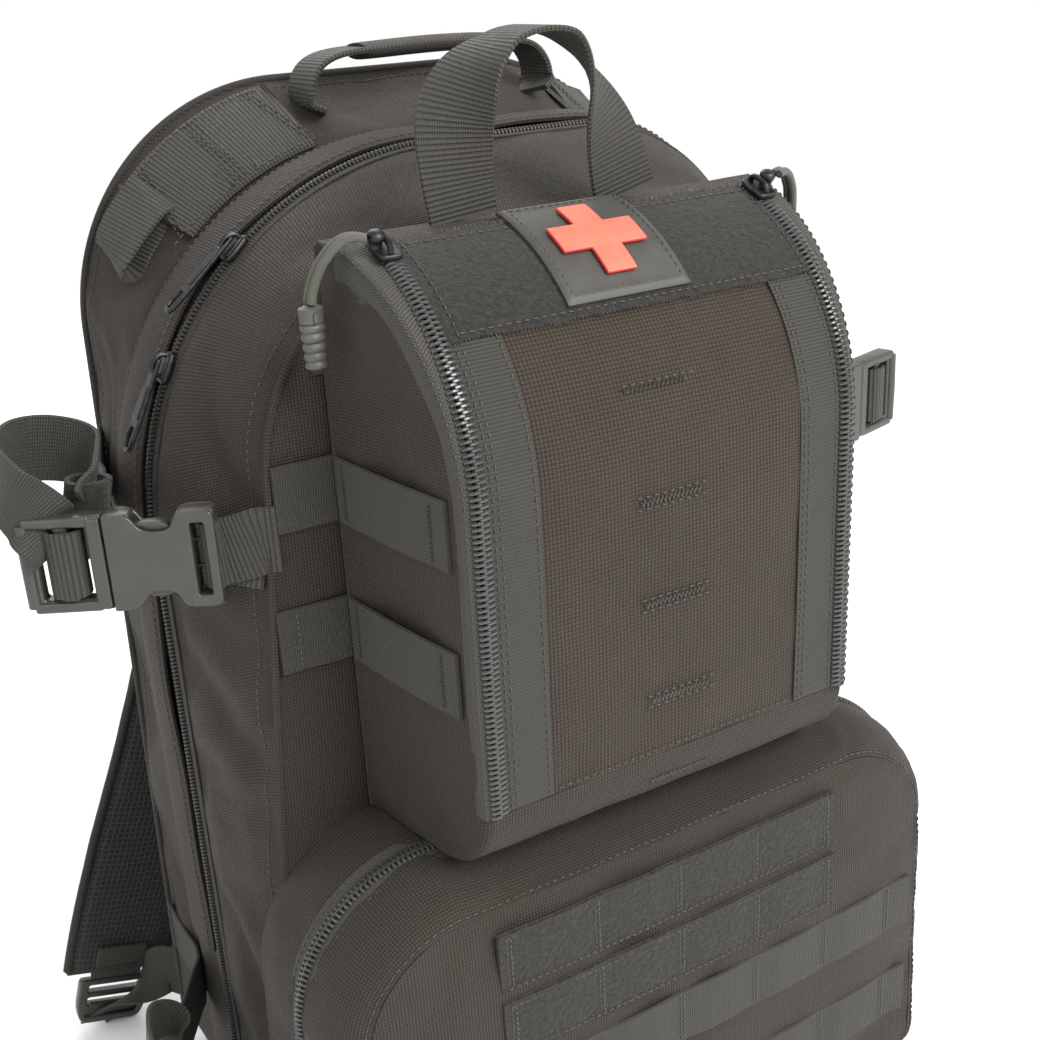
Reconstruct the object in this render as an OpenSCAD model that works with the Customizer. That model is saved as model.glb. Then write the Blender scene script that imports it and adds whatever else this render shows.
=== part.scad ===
// Trauma backpack: a clamshell pack with a detachable medical pouch on its front.
// X runs to the viewer's right, -Y towards the front and +Z up.
// The origin is the centre of the base that the pack stands on.

/* [Main compartment] */
// Half of the width of the bag at the main zipper
body_half_w = 141; // [136:1:150]
// Height of the crown above the base
body_top = 440; // [435:1:450]
// Radius of the sloping left shoulder of the outline
shoulder_r_left = 130; // [110:1:135]
// Radius of the fuller right shoulder of the outline
shoulder_r_right = 85; // [70:1:100]
// Depth of the main zipper plane behind the origin, negative to the front
zip_y = -15; // [-18:1:-12]
// Outer face of the back panel
back_y = 72; // [66:1:78]
// Height of the top of the back panel
back_top = 463; // [456:1:466]
// Half width of the back panel at its shoulders
back_half_w_high = 133; // [130:1:138]
// Outer face of the front panel
front_y = -79; // [-82:1:-76]
// Thickness of the laminated shell fabric
wall = 2.5; // [2:0.5:3]

/* [Front panel] */
// Half width of the front panel near the base
front_half_w_low = 143; // [138:1:145]
// Half width of the front panel at its shoulders
front_half_w_high = 117; // [112:1:120]
// Height of the top edge of the front panel
front_top = 415; // [410:1:420]

/* [Webbing and buckles] */
// Width of the attachment webbing and of the compression straps
webbing_w = 25; // [24:1:26]
// Thickness of webbing
webbing_t = 1.6; // [1.4:0.1:1.8]
// Height of the upper compression straps
upper_strap_z = 318; // [310:1:325]
// Height of the lower compression straps
lower_strap_z = 65; // [60:1:75]

/* [Medical pouch] */
// Front face of the pouch
pouch_y = -155; // [-158:1:-150]
// Radius of the curved top of the pouch
pouch_top_r = 80; // [76:1:82]
// Height at which the curved top starts
pouch_arc_z = 343; // [340:1:346]
// Height of the underside of the pouch
pouch_low_z = 205; // [200:1:208]
// Height of the fold on which the front panel of the pouch opens
pouch_hinge_z = 232; // [230:1:236]
// Half width of the front panel of the pouch
panel_half_w = 75; // [70:1:76]

/* [Lower pocket] */
// Half width of the lower pocket
pocket_half_w = 148; // [144:1:150]
// Height of the top of the lower pocket
pocket_top = 203; // [198:1:204]
// Height of the underside of the lower pocket
pocket_low = 12; // [8:1:16]
// Front face of the lower pocket
pocket_y = -150; // [-152:1:-146]
// Plane of the zipper of the lower pocket
pocket_zip_y = -118; // [-120:1:-114]

/* [Hidden] */
$fn = 32;
BASE_R = 25;
ZIP_W = 6;
ZIP_GAP = 0.2;
ZIP_LOW_Z = 40;
// Rear edge of the storm flap, behind which the wall slopes up to the back panel
SLOPE_Y = 22;
// Index of the last outline point of the base corners
BASE_LAST = 13;
RELIEF = 0.3;
// Height of a sewn-on layer above the curved skin under it
SEWN = 0.06;
BLACK = [0.10, 0.09, 0.09];
WEB = [0.16, 0.16, 0.15];
METAL = [0.30, 0.31, 0.32];
PLASTIC = [0.12, 0.12, 0.12];
RED = [0.95, 0.35, 0.28];
SIDES = [-1, 1];

// Centre of the left shoulder arc, which the two main sliders travel round
ARC_X = -(body_half_w - shoulder_r_left);
ARC_Z = body_top - shoulder_r_left;
UPPER_SLIDER_A = 50;
LOWER_SLIDER_A = 28;

// Centre of the pouch's top arc and the angles along it, from the front face up
POUCH_ARC_Y = pouch_y + pouch_top_r;
POUCH_BACK_Y = -83;
POUCH_LOW_R = 28;
POUCH_SLIDER_A = 69;
PANEL_END_A = 75;
FIELD_LOW_A = 40;
PATCH_A = 60.5;
PATCH_X = -3;
PATCH_SIZE = 50;
SKIN = 2;
POUCH_HALF_FRONT = 82;
POUCH_HALF_BACK = 92;

// How far the left upper strap reaches past its seam, and how much lower the right one sits
LEFT_STRAP_EXTRA = 8;
RIGHT_STRAP_DROP = 6;

// Rows of attachment webbing on the front panel and on the lower pocket
UPPER_ROWS = [377, 323, 269];
LOWER_ROWS = [96, 48];
STRIP_ROWS = [156, 127];
STRIP_H = 27;

// Shoulder straps
STRAP_X = 52;
STRAP_TOP_Z = 402;
STRAP_SPLAY = 17;
STRAP_W = 62;
STRAP_BOW = 24;

// Route of the left pull cord: points chosen along its hang
CORD_D = 3;
CORD_STEP = 3.2;
CORD_ROUTE = [
    [-85.2, -106.6, 425.5], [-87.1, -105.9, 425.9], [-89, -105, 426], [-90.8, -104.1, 425.6],
    [-92.5, -103.2, 424.7], [-94.1, -102.5, 423.4], [-95.4, -101.7, 422], [-96.5, -101, 420.4],
    [-97.6, -100.3, 418.8], [-98.5, -99.5, 417.1], [-99.2, -98.8, 415.3], [-99.9, -98.1, 413.4],
    [-100.4, -97.5, 411.5], [-100.9, -96.9, 409.5], [-101.3, -96.4, 407.5], [-101.5, -96, 405.5]];

// ---- Outlines ----

// Points on an arc about [u, v], n steps from angle a0 to angle a1
function arc(u, v, r, a0, a1, n) =
    [for (i = [0:n]) let (a = a0 + (a1 - a0) * i / n) [u + r * cos(a), v + r * sin(a)]];

// Outline with two base corners of radius rb and its own radius at each shoulder;
// low and high are the half widths there, and e is how far outside the shell it lies
function outline(low, high, z0, z1, rl, rr, rb, e) = concat(
    arc(rb - low, z0 + rb, rb + e, 180, 270, 6),
    arc(low - rb, z0 + rb, rb + e, 270, 360, 6),
    arc(high - rr, z1 - rr, rr + e, 0, 90, 16),
    arc(rl - high, z1 - rl, rl + e, 90, 180, 16));

function main_outline(e) =
    outline(body_half_w, body_half_w, 0, body_top, shoulder_r_left, shoulder_r_right, BASE_R, e);
function back_outline(e) =
    outline(body_half_w, back_half_w_high, 0, back_top, 94, 75, BASE_R, e);
function front_outline(e) = outline(front_half_w_low, front_half_w_high, 0, front_top, 75, 68, BASE_R, e);
function pocket_outline(e) =
    outline(pocket_half_w, pocket_half_w - 4, pocket_low, pocket_top, 55, 55, 18, e);

// Outline of the sloping wall at depth y, between the storm flap and the back panel
function slope_outline(y, e) =
    let (a = main_outline(e), b = back_outline(e), t = (y - SLOPE_Y) / (back_y - wall - SLOPE_Y))
    [for (i = [0:len(a) - 1]) a[i] + t * (b[i] - a[i])];

// Point on the pouch's side profile at angle a, e outside its skin
function pouch_point(a, e) =
    [POUCH_ARC_Y - (pouch_top_r + e) * cos(a), pouch_arc_z + (pouch_top_r + e) * sin(a)];
function pouch_curve(e, a0, a1, n) = [for (i = [0:n]) pouch_point(a0 + (a1 - a0) * i / n, e)];
function pouch_profile(e) = concat(
    pouch_curve(e, 0, 84, 28),
    [[POUCH_BACK_Y, pouch_low_z - e]],
    arc(pouch_y + POUCH_LOW_R, pouch_low_z + POUCH_LOW_R, POUCH_LOW_R + e, 270, 180, 10));
function pouch_plan(e) = [
    [-POUCH_HALF_BACK - e, POUCH_BACK_Y], [POUCH_HALF_BACK + e, POUCH_BACK_Y],
    [POUCH_HALF_FRONT + e, pouch_y - 1 - e], [-POUCH_HALF_FRONT - e, pouch_y - 1 - e]];

// ---- Shared shapes ----

// An XZ outline made solid from y0 to y1
module slab(points, y0, y1) {
    translate([0, y1, 0]) rotate([90, 0, 0]) linear_extrude(y1 - y0) polygon(points);
}

// A YZ profile made solid from x0 to x1
module along_x(x0, x1) {
    translate([x0, 0, 0]) rotate([90, 0, 90]) linear_extrude(x1 - x0) children();
}

// A plain box between two corners
module block(a, b) {
    translate(a) cube(b - a);
}

// Its children as they are for side 1, and their mirror image across X = 0 for side -1
module on_side(side) {
    mirror([side < 0 ? 1 : 0, 0, 0]) children();
}

module mirrored() {
    for (side = SIDES) on_side(side) children();
}

// Corner points of a wall between outline p at ya and outline q at yb, with p_in and q_in
// inside it; four points for each outline index in run
function stations(p, p_in, ya, q, q_in, yb, yb_in, run) = [
    for (i = run) for (c = [[p[i], ya], [q[i], yb], [q_in[i], yb_in], [p_in[i], ya]])
        [c[0][0], c[1], c[0][1]]];

// Two triangles on side s of the wall between station k and station m
function wall_side(k, m, s) = let (t = (s + 1) % 4)
    [[4 * k + s, 4 * k + t, 4 * m + t], [4 * k + s, 4 * m + t, 4 * m + s]];

// A stretch of shell wall that slopes from one outline to another
module wall_run(p, p_in, ya, q, q_in, yb, run) {
    last = len(run) - 1;
    polyhedron(stations(p, p_in, ya, q, q_in, yb, yb, run), concat(
        [for (k = [0:last - 1]) for (s = [0:3]) each wall_side(k, k + 1, s)],
        [[3, 2, 1, 0], [for (s = [0:3]) 4 * last + s]]));
}

// A shallow tray: a wall all round that is closed by a flat front
module tray(p, p_in, ya, q, q_in, yb, yb_in) {
    n = len(p);
    polyhedron(stations(p, p_in, ya, q, q_in, yb, yb_in, [0:n - 1]), concat(
        [for (k = [0:n - 1]) for (s = [0, 2, 3]) each wall_side(k, (k + 1) % n, s)],
        [[for (k = [n - 1:-1:0]) 4 * k + 1], [for (k = [0:n - 1]) 4 * k + 2]]));
}

// A closed band that follows the main outline, from e0 to e1 outside it
module main_ring(y0, y1, e0, e1) {
    difference() {
        slab(main_outline(e1), y0, y1);
        slab(main_outline(e0), y0 - 1, y1 + 1);
    }
}

module above(z) {
    intersection() {
        children();
        block([-400, -400, z], [400, 400, 700]);
    }
}

module below(z) {
    intersection() {
        children();
        block([-400, -400, -50], [400, 400, z]);
    }
}

// A layer on the pouch's front, e0 to e1 outside its skin, from height z up to angle a1
module pouch_layer(x0, x1, e0, e1, z, a1) {
    along_x(x0, x1) polygon(concat(
        [[pouch_y - e1, z]], pouch_curve(e1, 0, a1, 25), pouch_curve(e0, a1, 0, 25),
        [[pouch_y - e0, z]]));
}

// A layer on the curved top only, between angles a0 and a1
module pouch_top_layer(x0, x1, e0, e1, a0, a1) {
    along_x(x0, x1) polygon(concat(pouch_curve(e1, a0, a1, 14), pouch_curve(e0, a1, a0, 14)));
}

// A tube of radius r swept along a route, with rings square to X and Y drift
module tube(route, r) {
    n = 8;
    last = len(route) - 1;
    rings = [for (i = [0:last]) let (
        a = route[max(i - 1, 0)],
        b = route[min(i + 1, last)],
        t = (b - a) / norm(b - a),
        u = cross(t, [0, 1, 0]) / norm(cross(t, [0, 1, 0])),
        v = cross(t, u))
        for (k = [0:n - 1]) route[i] + r * (u * cos(360 * k / n) + v * sin(360 * k / n))];
    skin = [for (i = [0:last - 1]) for (k = [0:n - 1]) let (m = (k + 1) % n)
        [i * n + k, i * n + m, (i + 1) * n + m, (i + 1) * n + k]];
    polyhedron(rings, concat(skin, [[for (k = [n - 1:-1:0]) k]], [[for (k = [0:n - 1]) last * n + k]]));
}

// ---- Main compartment ----

module back_panel() {
    color(BLACK) slab(back_outline(0), back_y - wall, back_y);
}

module rear_band() {
    difference() {
        main_ring(zip_y + ZIP_GAP, SLOPE_Y, -wall, 0);
        above(ZIP_LOW_Z) main_ring(zip_y - 1, zip_y + ZIP_W, -wall - 1, 1);
    }
}

// Wall from the back panel down to the band behind the main zipper, over a run of outline indices
module rear_wall(run) {
    wall_run(back_outline(0), back_outline(-wall), back_y - wall, main_outline(0), main_outline(-wall),
        SLOPE_Y, run);
}

module main_gusset() {
    last = len(main_outline(0)) - 1;
    color(BLACK) {
        rear_wall([for (i = [BASE_LAST:last + 1]) i % (last + 1)]);
        above(BASE_R) rear_band();
    }
}

module main_bottom() {
    color(BLACK) {
        rear_wall([for (i = [0:BASE_LAST]) i]);
        below(BASE_R) rear_band();
    }
}

module back_pads() {
    color([0.13, 0.13, 0.13]) {
        slab(outline(105, 105, 60, 205, 20, 20, 20, 0), back_y, back_y + 12);
        slab(outline(105, 95, 222, 378, 30, 30, 20, 0), back_y, back_y + 12);
    }
}

module frame_sheet() {
    color([0.2, 0.2, 0.2]) slab(main_outline(-16), 66, 67.5);
}

module hydration_sleeve() {
    color(BLACK) slab(outline(112, 112, 25, 320, 12, 12, 12, 0), 62, 63.2);
}

module main_zipper_rear() {
    color(METAL) above(ZIP_LOW_Z) main_ring(zip_y + ZIP_GAP, zip_y + ZIP_W, -wall, 0);
}

module storm_flap() {
    color(BLACK) above(110) {
        main_ring(-11, 18, 4.2, 5.7);
        main_ring(18, 22, 0, 5.7);
    }
}

// A strip on the sloping wall between y0 and y1, from outline index first to last
module slope_strip(y0, y1, e, first, last) {
    wall_run(slope_outline(y1, e), slope_outline(y1, SEWN), y1, slope_outline(y0, e),
        slope_outline(y0, SEWN), y0, [for (i = [first:last]) i]);
}

// A webbing band over each shoulder, and a folded webbing loop under the left one's outer end
module shoulder_bands() {
    color(WEB) {
        slope_strip(24, 62, 3, 33, 39);
        slope_strip(24, 62, 3, 18, 27);
        slope_strip(35, 60, 4.4, 39, 41);
    }
}

// Handle loop above the crown, on narrow feet that the fabric bends at
module top_handle() {
    color(WEB) translate([0, 55, 0]) rotate([90, 0, 0]) {
        linear_extrude(24) difference() {
            polygon(concat(arc(-26, 463, 14, 180, 90, 6), arc(66, 463, 12, 90, 0, 6)));
            polygon(concat(arc(-26, 463, 7, 180, 90, 6), arc(66, 463, 5, 90, 0, 6)));
        }
        translate([-40, 451.5, 9]) cube([7, 11.5, 6]);
        translate([71, 451.2, 9]) cube([7, 11.8, 6]);
    }
}

// Places its children on the main zipper at an angle round the left shoulder
module on_main_zip(a) {
    translate([ARC_X, 0, ARC_Z]) rotate([0, a, 0]) translate([-shoulder_r_left, 0, 0]) children();
}

// Slider plate with two cheeks that carry a pin for the pull; -X is outwards
module slider() {
    color(METAL) {
        block([-3.4, -20, -6], [-0.4, -12, 6]);
        for (y = [-20, -13.2]) block([-7, y, -2], [-3.4, y + 1.2, 2]);
        translate([-6, -12, 0]) rotate([90, 0, 0]) cylinder(r = 1, h = 8);
    }
}

// Long tapered pull with an eye at the pin and an oval ring at its end
module pull() {
    color(METAL) translate([0, -13.6, 0]) rotate([90, 0, 0]) difference() {
        union() {
            translate([-6, 0, 0]) cylinder(r = 2.2, h = 4.8);
            translate([-6.9, -30, 0]) cube([1.8, 29, 4.8]);
            translate([-6.9, -34, -1.6]) cube([1.8, 22, 8]);
        }
        translate([-6, 0, -1]) cylinder(r = 1.08, h = 7);
        translate([-8, -31, 0.8]) cube([4, 8, 3.2]);
    }
}

module main_slider_upper() {
    on_main_zip(UPPER_SLIDER_A) slider();
}

module main_slider_lower() {
    on_main_zip(LOWER_SLIDER_A) slider();
}

module main_pull_upper() {
    on_main_zip(UPPER_SLIDER_A) pull();
}

module main_pull_lower() {
    on_main_zip(LOWER_SLIDER_A) pull();
}

// ---- Shoulder straps ----

module strap_frame(side) {
    translate([side * STRAP_X, 0, STRAP_TOP_Z]) rotate([0, -side * STRAP_SPLAY, 0]) children();
}

// Side profile of a strap: its outer and inner faces as [y, z], from its top end down
STRAP_OUTER = [[back_y, 0], [92, 2], [108, -12], [120, -60], [127, -140], [129, -230], [125, -310],
    [113, -385]];
STRAP_INNER = [[back_y, -12], [90, -12], [97, -20], [108, -62], [115, -140], [117, -230], [112, -308],
    [101, -383]];

// Sideways bow of a strap at a local height
function strap_bow(z) = STRAP_BOW * sin(180 * min(1, max(0, -z / 383)));

// Padded strap that leaves the top of the back, bows away from it and curves in over the ribs
module shoulder_strap(side) {
    last = len(STRAP_OUTER) - 1;
    rings = [for (i = [0:last]) let (o = STRAP_OUTER[i], n = STRAP_INNER[i]) each [
        [-side * strap_bow(o[1]) - STRAP_W / 2, o[0], o[1]],
        [-side * strap_bow(o[1]) + STRAP_W / 2, o[0], o[1]],
        [-side * strap_bow(n[1]) + STRAP_W / 2, n[0], n[1]],
        [-side * strap_bow(n[1]) - STRAP_W / 2, n[0], n[1]]]];
    sides = [for (i = [0:last - 1]) for (k = [0:3]) let (a = 4 * i, m = (k + 1) % 4)
        each [[a + k, a + m, a + 4 + m], [a + k, a + 4 + m, a + 4 + k]]];
    color([0.13, 0.13, 0.13]) strap_frame(side)
        polyhedron(rings, concat(sides, [[3, 2, 1, 0], [for (k = [0:3]) 4 * last + k]]));
}

module shoulder_strap_left() {
    shoulder_strap(-1);
}

module shoulder_strap_right() {
    shoulder_strap(1);
}

// Webbing from each ladder lock back to a lower corner of the bag
module adjuster_webbing() {
    color(WEB) for (side = SIDES) on_side(side) hull() {
        block([118, back_y, 22], [140, back_y + 1.6, 47]);
        block([146, 97, 26], [168, 98.6, 51]);
    }
}

// Ladder lock that hangs from the end of a strap and tilts on its fixed bar
module ladder_lock(side) {
    color(PLASTIC) strap_frame(side) translate([0, 107, -389]) difference() {
        block([-18, -3, -26], [18, 3, -1]);
        block([-13, -4, -8], [13, 4, -4]);
        block([-13, -4, -15], [13, 4, -11]);
        block([-13, -4, -22], [13, 4, -18]);
    }
}

module ladder_lock_left() {
    ladder_lock(-1);
}

module ladder_lock_right() {
    ladder_lock(1);
}

// ---- Compression straps ----

// Local frame of a strap: X outwards along it, Y across it, Z away from the bag
module upper_strap_frame(side) {
    on_side(side) translate([119.5, -80.5, upper_strap_z - (side < 0 ? 0 : RIGHT_STRAP_DROP)])
        rotate([0, 0, side < 0 ? 30 : 14]) translate([side < 0 ? LEFT_STRAP_EXTRA : 0, 0, 0])
        rotate([90, 0, 0]) children();
}

module lower_strap_frame(side) {
    on_side(side) translate([150, -112, lower_strap_z]) rotate([0, 0, 32])
        rotate([90, 0, 0]) children();
}

module front_strap(start) {
    block([start, -webbing_w / 2, -webbing_t], [14, webbing_w / 2, 0]);
}

module compression_straps_front() {
    color(WEB) for (side = SIDES) {
        upper_strap_frame(side) front_strap(side < 0 ? 1.6 - LEFT_STRAP_EXTRA : 3);
        lower_strap_frame(side) front_strap(1.6);
    }
}

// Socket of a side release buckle, with a web bar, a cavity and two side windows
module socket() {
    color(PLASTIC) translate([0, 0, -webbing_t / 2]) difference() {
        block([10, -18, -5], [48, 18, 5]);
        block([20, -14.5, -3.1], [49, 14.5, 3.1]);
        block([13, -13.5, -6], [17, 13.5, 6]);
        block([9, -13, -1], [14, 13, 1]);
        for (y = [-19, 12]) block([24, y, -6], [37, y + 7, 6]);
    }
}

module buckle_sockets() {
    for (side = SIDES) {
        upper_strap_frame(side) socket();
        lower_strap_frame(side) socket();
    }
}

// Plug with two prongs, a centre guide and a ladder for the webbing
module plug() {
    color(PLASTIC) translate([0, 0, -webbing_t / 2]) {
        difference() {
            block([48.3, -18, -4.5], [78, 18, 4.5]);
            block([55, -13.5, -5], [61, 13.5, 5]);
            block([66, -13.5, -5], [73, 13.5, 5]);
        }
        for (side = SIDES) mirror([0, side < 0 ? 1 : 0, 0]) {
            block([30, 9.5, -2.7], [48.3, 13, 2.7]);
            block([25, 10.5, -2.7], [34, 14.2, 2.7]);
        }
        block([34, -2, -2.7], [48.3, 2, 2.7]);
    }
}

module buckle_plug_upper_left() {
    upper_strap_frame(-1) plug();
}

module buckle_plug_upper_right() {
    upper_strap_frame(1) plug();
}

module buckle_plug_lower_left() {
    lower_strap_frame(-1) plug();
}

module buckle_plug_lower_right() {
    lower_strap_frame(1) plug();
}

// Webbing from the rear seam at x_back, over the wall's front edge at x_bend, towards a plug
module strap_run(side, z, x_back, x_bend, y_end, x_end) {
    on_side(side) translate([0, 0, z - webbing_w / 2]) linear_extrude(webbing_w)
        polygon([[x_back, 66], [x_back + webbing_t, 66], [x_bend + webbing_t, SLOPE_Y],
            [x_end + 2, y_end], [x_end, y_end], [x_bend, SLOPE_Y]]);
}

module strap_runs_upper() {
    color(WEB) {
        strap_run(-1, upper_strap_z, body_half_w - 4.6, body_half_w + 6.1, -22, 180);
        strap_run(1, upper_strap_z - RIGHT_STRAP_DROP, body_half_w - 4.4, body_half_w + 6.1, 4, 158);
    }
}

module strap_runs_lower() {
    x_side = body_half_w + RELIEF + 0.2;
    color(WEB) for (side = SIDES)
        strap_run(side, lower_strap_z + 12, x_side, x_side, -22, 172);
}

// ---- Front section ----

module front_panel() {
    color(BLACK) slab(front_outline(0), front_y, front_y + wall);
}

// Sloping wall from the main zipper to the front panel, over a run of outline indices
module front_wall(run) {
    wall_run(main_outline(0), main_outline(-wall), zip_y - ZIP_W, front_outline(0), front_outline(-wall),
        front_y + wall, run);
}

// The part of the zipper's band that is plain fabric, below the zipper's ends
module front_band() {
    below(ZIP_LOW_Z) main_ring(zip_y - ZIP_W, zip_y - ZIP_GAP, -wall, 0);
}

module front_gusset() {
    last = len(main_outline(0)) - 1;
    color(BLACK) {
        front_wall([for (i = [BASE_LAST:last + 1]) i % (last + 1)]);
        above(BASE_R) front_band();
    }
}

module front_bottom() {
    color(BLACK) {
        front_wall([for (i = [0:BASE_LAST]) i]);
        below(BASE_R) front_band();
    }
}

module main_zipper_front() {
    color(METAL) above(ZIP_LOW_Z) main_ring(zip_y - ZIP_W, zip_y - ZIP_GAP, -wall, 0);
}

module upper_molle_webbing() {
    color(WEB) for (z = UPPER_ROWS) intersection() {
        slab(front_outline(0), front_y - webbing_t, front_y);
        block([-200, -200, z], [200, 0, z + webbing_w]);
    }
}

// ---- Medical pouch ----

module pouch_back() {
    color(BLACK) block([-POUCH_HALF_BACK, POUCH_BACK_Y, pouch_low_z],
        [POUCH_HALF_BACK, front_y - webbing_t, 421]);
}

module pouch_hull(e) {
    intersection() {
        along_x(-120, 120) polygon(pouch_profile(e));
        translate([0, 0, 150]) linear_extrude(300) polygon(pouch_plan(e));
    }
}

module pouch_wall() {
    color(BLACK) difference() {
        pouch_hull(0);
        translate([0, 0.1, 0]) pouch_hull(-SKIN);
        pouch_layer(-79.4, 79.4, -8, 8, pouch_hinge_z + 0.1, PANEL_END_A + 0.4);
    }
}

module pouch_side_straps() {
    color(WEB) for (z = [323, 269]) difference() {
        intersection() {
            translate([0, 0, z]) linear_extrude(webbing_w) polygon(pouch_plan(webbing_t));
            block([-200, -147, z], [200, POUCH_BACK_Y, z + webbing_w]);
        }
        translate([0, 0, z - 1]) linear_extrude(webbing_w + 2) polygon(pouch_plan(0));
    }
}

module pouch_zipper_wall() {
    color(METAL) mirrored() pouch_layer(77.4, 79.4, -SKIN, 1.6, pouch_hinge_z + 0.1, PANEL_END_A);
}

// Elastic loops sewn to the inside of the pouch's back
module pouch_organizer() {
    color(WEB) for (z = [250, 310]) for (i = [-2:2])
        block([i * 30 - 12, POUCH_BACK_Y - 4, z], [i * 30 + 12, POUCH_BACK_Y, z + 30]);
}

// Webbing carry handle standing behind the loop field
module pouch_handle() {
    color(WEB) translate([0, -84.5, 0]) rotate([90, 0, 0]) linear_extrude(4) polygon([
        [-52, 424], [-24, 424], [-22, 440], [-14, 464], [-4, 470], [4, 464], [14, 440], [17, 424],
        [45, 424], [36, 445], [18, 472], [2, 484], [-22, 484], [-38, 472], [-48, 445]]);
}

// Places its children on the left pouch zipper; X along the bag, Y outwards, Z up the zipper
module on_pouch_zip(side) {
    translate([side * 81, POUCH_ARC_Y, pouch_arc_z]) rotate([-POUCH_SLIDER_A, 0, 0])
        translate([0, -pouch_top_r, 0]) children();
}

// Slider plate with a square post that the pull cord passes through
module pouch_slider(side) {
    color(METAL) on_pouch_zip(side) {
        block([-3.4, -4.6, -6], [3.6, -2, 6]);
        block([-3, -10.5, -3], [3, -4.6, 3]);
    }
}

module pouch_slider_left() {
    pouch_slider(-1);
}

module pouch_slider_right() {
    pouch_slider(1);
}

// Two strands from the post to the cord end, side by side
module pull_cords() {
    color([0.30, 0.31, 0.26]) for (dy = [-CORD_STEP / 2, CORD_STEP / 2])
        tube([for (p = CORD_ROUTE) p + [0, dy, 0]], CORD_D / 2);
}

module pouch_pull_cord_left() {
    pull_cords();
}

module pouch_pull_cord_right() {
    mirror([1, 0, 0]) pull_cords();
}

// Ribbed grip that the two strands end in
module cord_end() {
    color(PLASTIC) translate([-101.5, -96, 383]) {
        cylinder(r = 4, h = 22);
        for (i = [0:4]) translate([0, 0, 2 + i * 3.8]) cylinder(r = 5, h = 2);
    }
}

module pouch_cord_end_left() {
    cord_end();
}

module pouch_cord_end_right() {
    mirror([1, 0, 0]) cord_end();
}

module pouch_panel() {
    color(BLACK) pouch_layer(-panel_half_w, panel_half_w, -SKIN, 0, pouch_hinge_z + 0.5, PANEL_END_A);
}

module pouch_panel_tapes() {
    color(WEB) mirrored() pouch_layer(panel_half_w - 20, panel_half_w - 1, SEWN, 0.8,
        pouch_hinge_z + 1.5, FIELD_LOW_A - 0.5);
}

module pouch_zipper_panel() {
    color(METAL) mirrored() pouch_layer(panel_half_w, 77, -SKIN, 1.6, pouch_hinge_z + 0.5, PANEL_END_A);
}

module pouch_loop_field() {
    color([0.14, 0.14, 0.14]) pouch_top_layer(-panel_half_w, panel_half_w, SEWN, 1.8, FIELD_LOW_A,
        PANEL_END_A - 1);
}

// Places its children on the curved top; Z is away from the surface, Y up the slope
module on_patch() {
    translate([PATCH_X, POUCH_ARC_Y, pouch_arc_z]) rotate([90 - PATCH_A, 0, 0]) children();
}

module patch_base() {
    color([0.13, 0.14, 0.11]) intersection() {
        pouch_top_layer(-60, 60, 2.1, 4.4, PATCH_A - 26, PATCH_A + 26);
        on_patch() translate([-PATCH_SIZE / 2, -PATCH_SIZE / 2, 0]) cube([PATCH_SIZE, PATCH_SIZE, 110]);
    }
}

module patch_cross() {
    arm = 34;
    bar = 12;
    color(RED) intersection() {
        pouch_top_layer(-60, 60, 4.4, 5.6, PATCH_A - 26, PATCH_A + 26);
        on_patch() union() {
            translate([-arm / 2, -bar / 2, 0]) cube([arm, bar, 110]);
            translate([-bar / 2, -arm / 2, 0]) cube([bar, arm, 110]);
        }
    }
}

// ---- Lower pocket ----

module pocket_ring(y0, y1, e0, e1) {
    difference() {
        slab(pocket_outline(e1), y0, y1);
        slab(pocket_outline(e0), y0 - 1, y1 + 1);
    }
}

module lower_pocket_wall() {
    color(BLACK) difference() {
        pocket_ring(pocket_zip_y + ZIP_GAP, front_y, -SKIN, 0);
        above(ZIP_LOW_Z) pocket_ring(pocket_zip_y - 1, pocket_zip_y + ZIP_W, -SKIN - 1, 2);
    }
}

module lower_zipper_wall() {
    color(METAL) above(ZIP_LOW_Z) pocket_ring(pocket_zip_y + ZIP_GAP, pocket_zip_y + ZIP_W, -SKIN, 0.8);
}

module lower_panel() {
    band_y = pocket_zip_y - ZIP_W;
    color(BLACK) {
        tray(pocket_outline(0), pocket_outline(-SKIN), band_y, pocket_outline(-12), pocket_outline(-13),
            pocket_y, pocket_y + SKIN);
        below(ZIP_LOW_Z) pocket_ring(band_y, pocket_zip_y - ZIP_GAP, -SKIN, 0);
    }
}

module lower_zipper_panel() {
    color(METAL) above(ZIP_LOW_Z) pocket_ring(pocket_zip_y - ZIP_W, pocket_zip_y - ZIP_GAP, -SKIN, 0.8);
}

module pocket_row(z, h, half, t) {
    block([-half, pocket_y - t, z], [half, pocket_y, z + h]);
}

module lower_loop_strips() {
    color([0.14, 0.14, 0.14]) for (z = STRIP_ROWS) pocket_row(z, STRIP_H, 80, 2.2);
}

module lower_molle_webbing() {
    color(WEB) for (z = LOWER_ROWS) pocket_row(z, webbing_w, 128, webbing_t);
}

// Slider and pull of the lower pocket, near the right end of its zipper
module on_pocket_zip() {
    translate([pocket_half_w + 1.2, pocket_zip_y + 16, 56]) mirror([1, 0, 0]) children();
}

module lower_slider() {
    on_pocket_zip() slider();
}

module lower_pull() {
    on_pocket_zip() pull();
}

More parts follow.
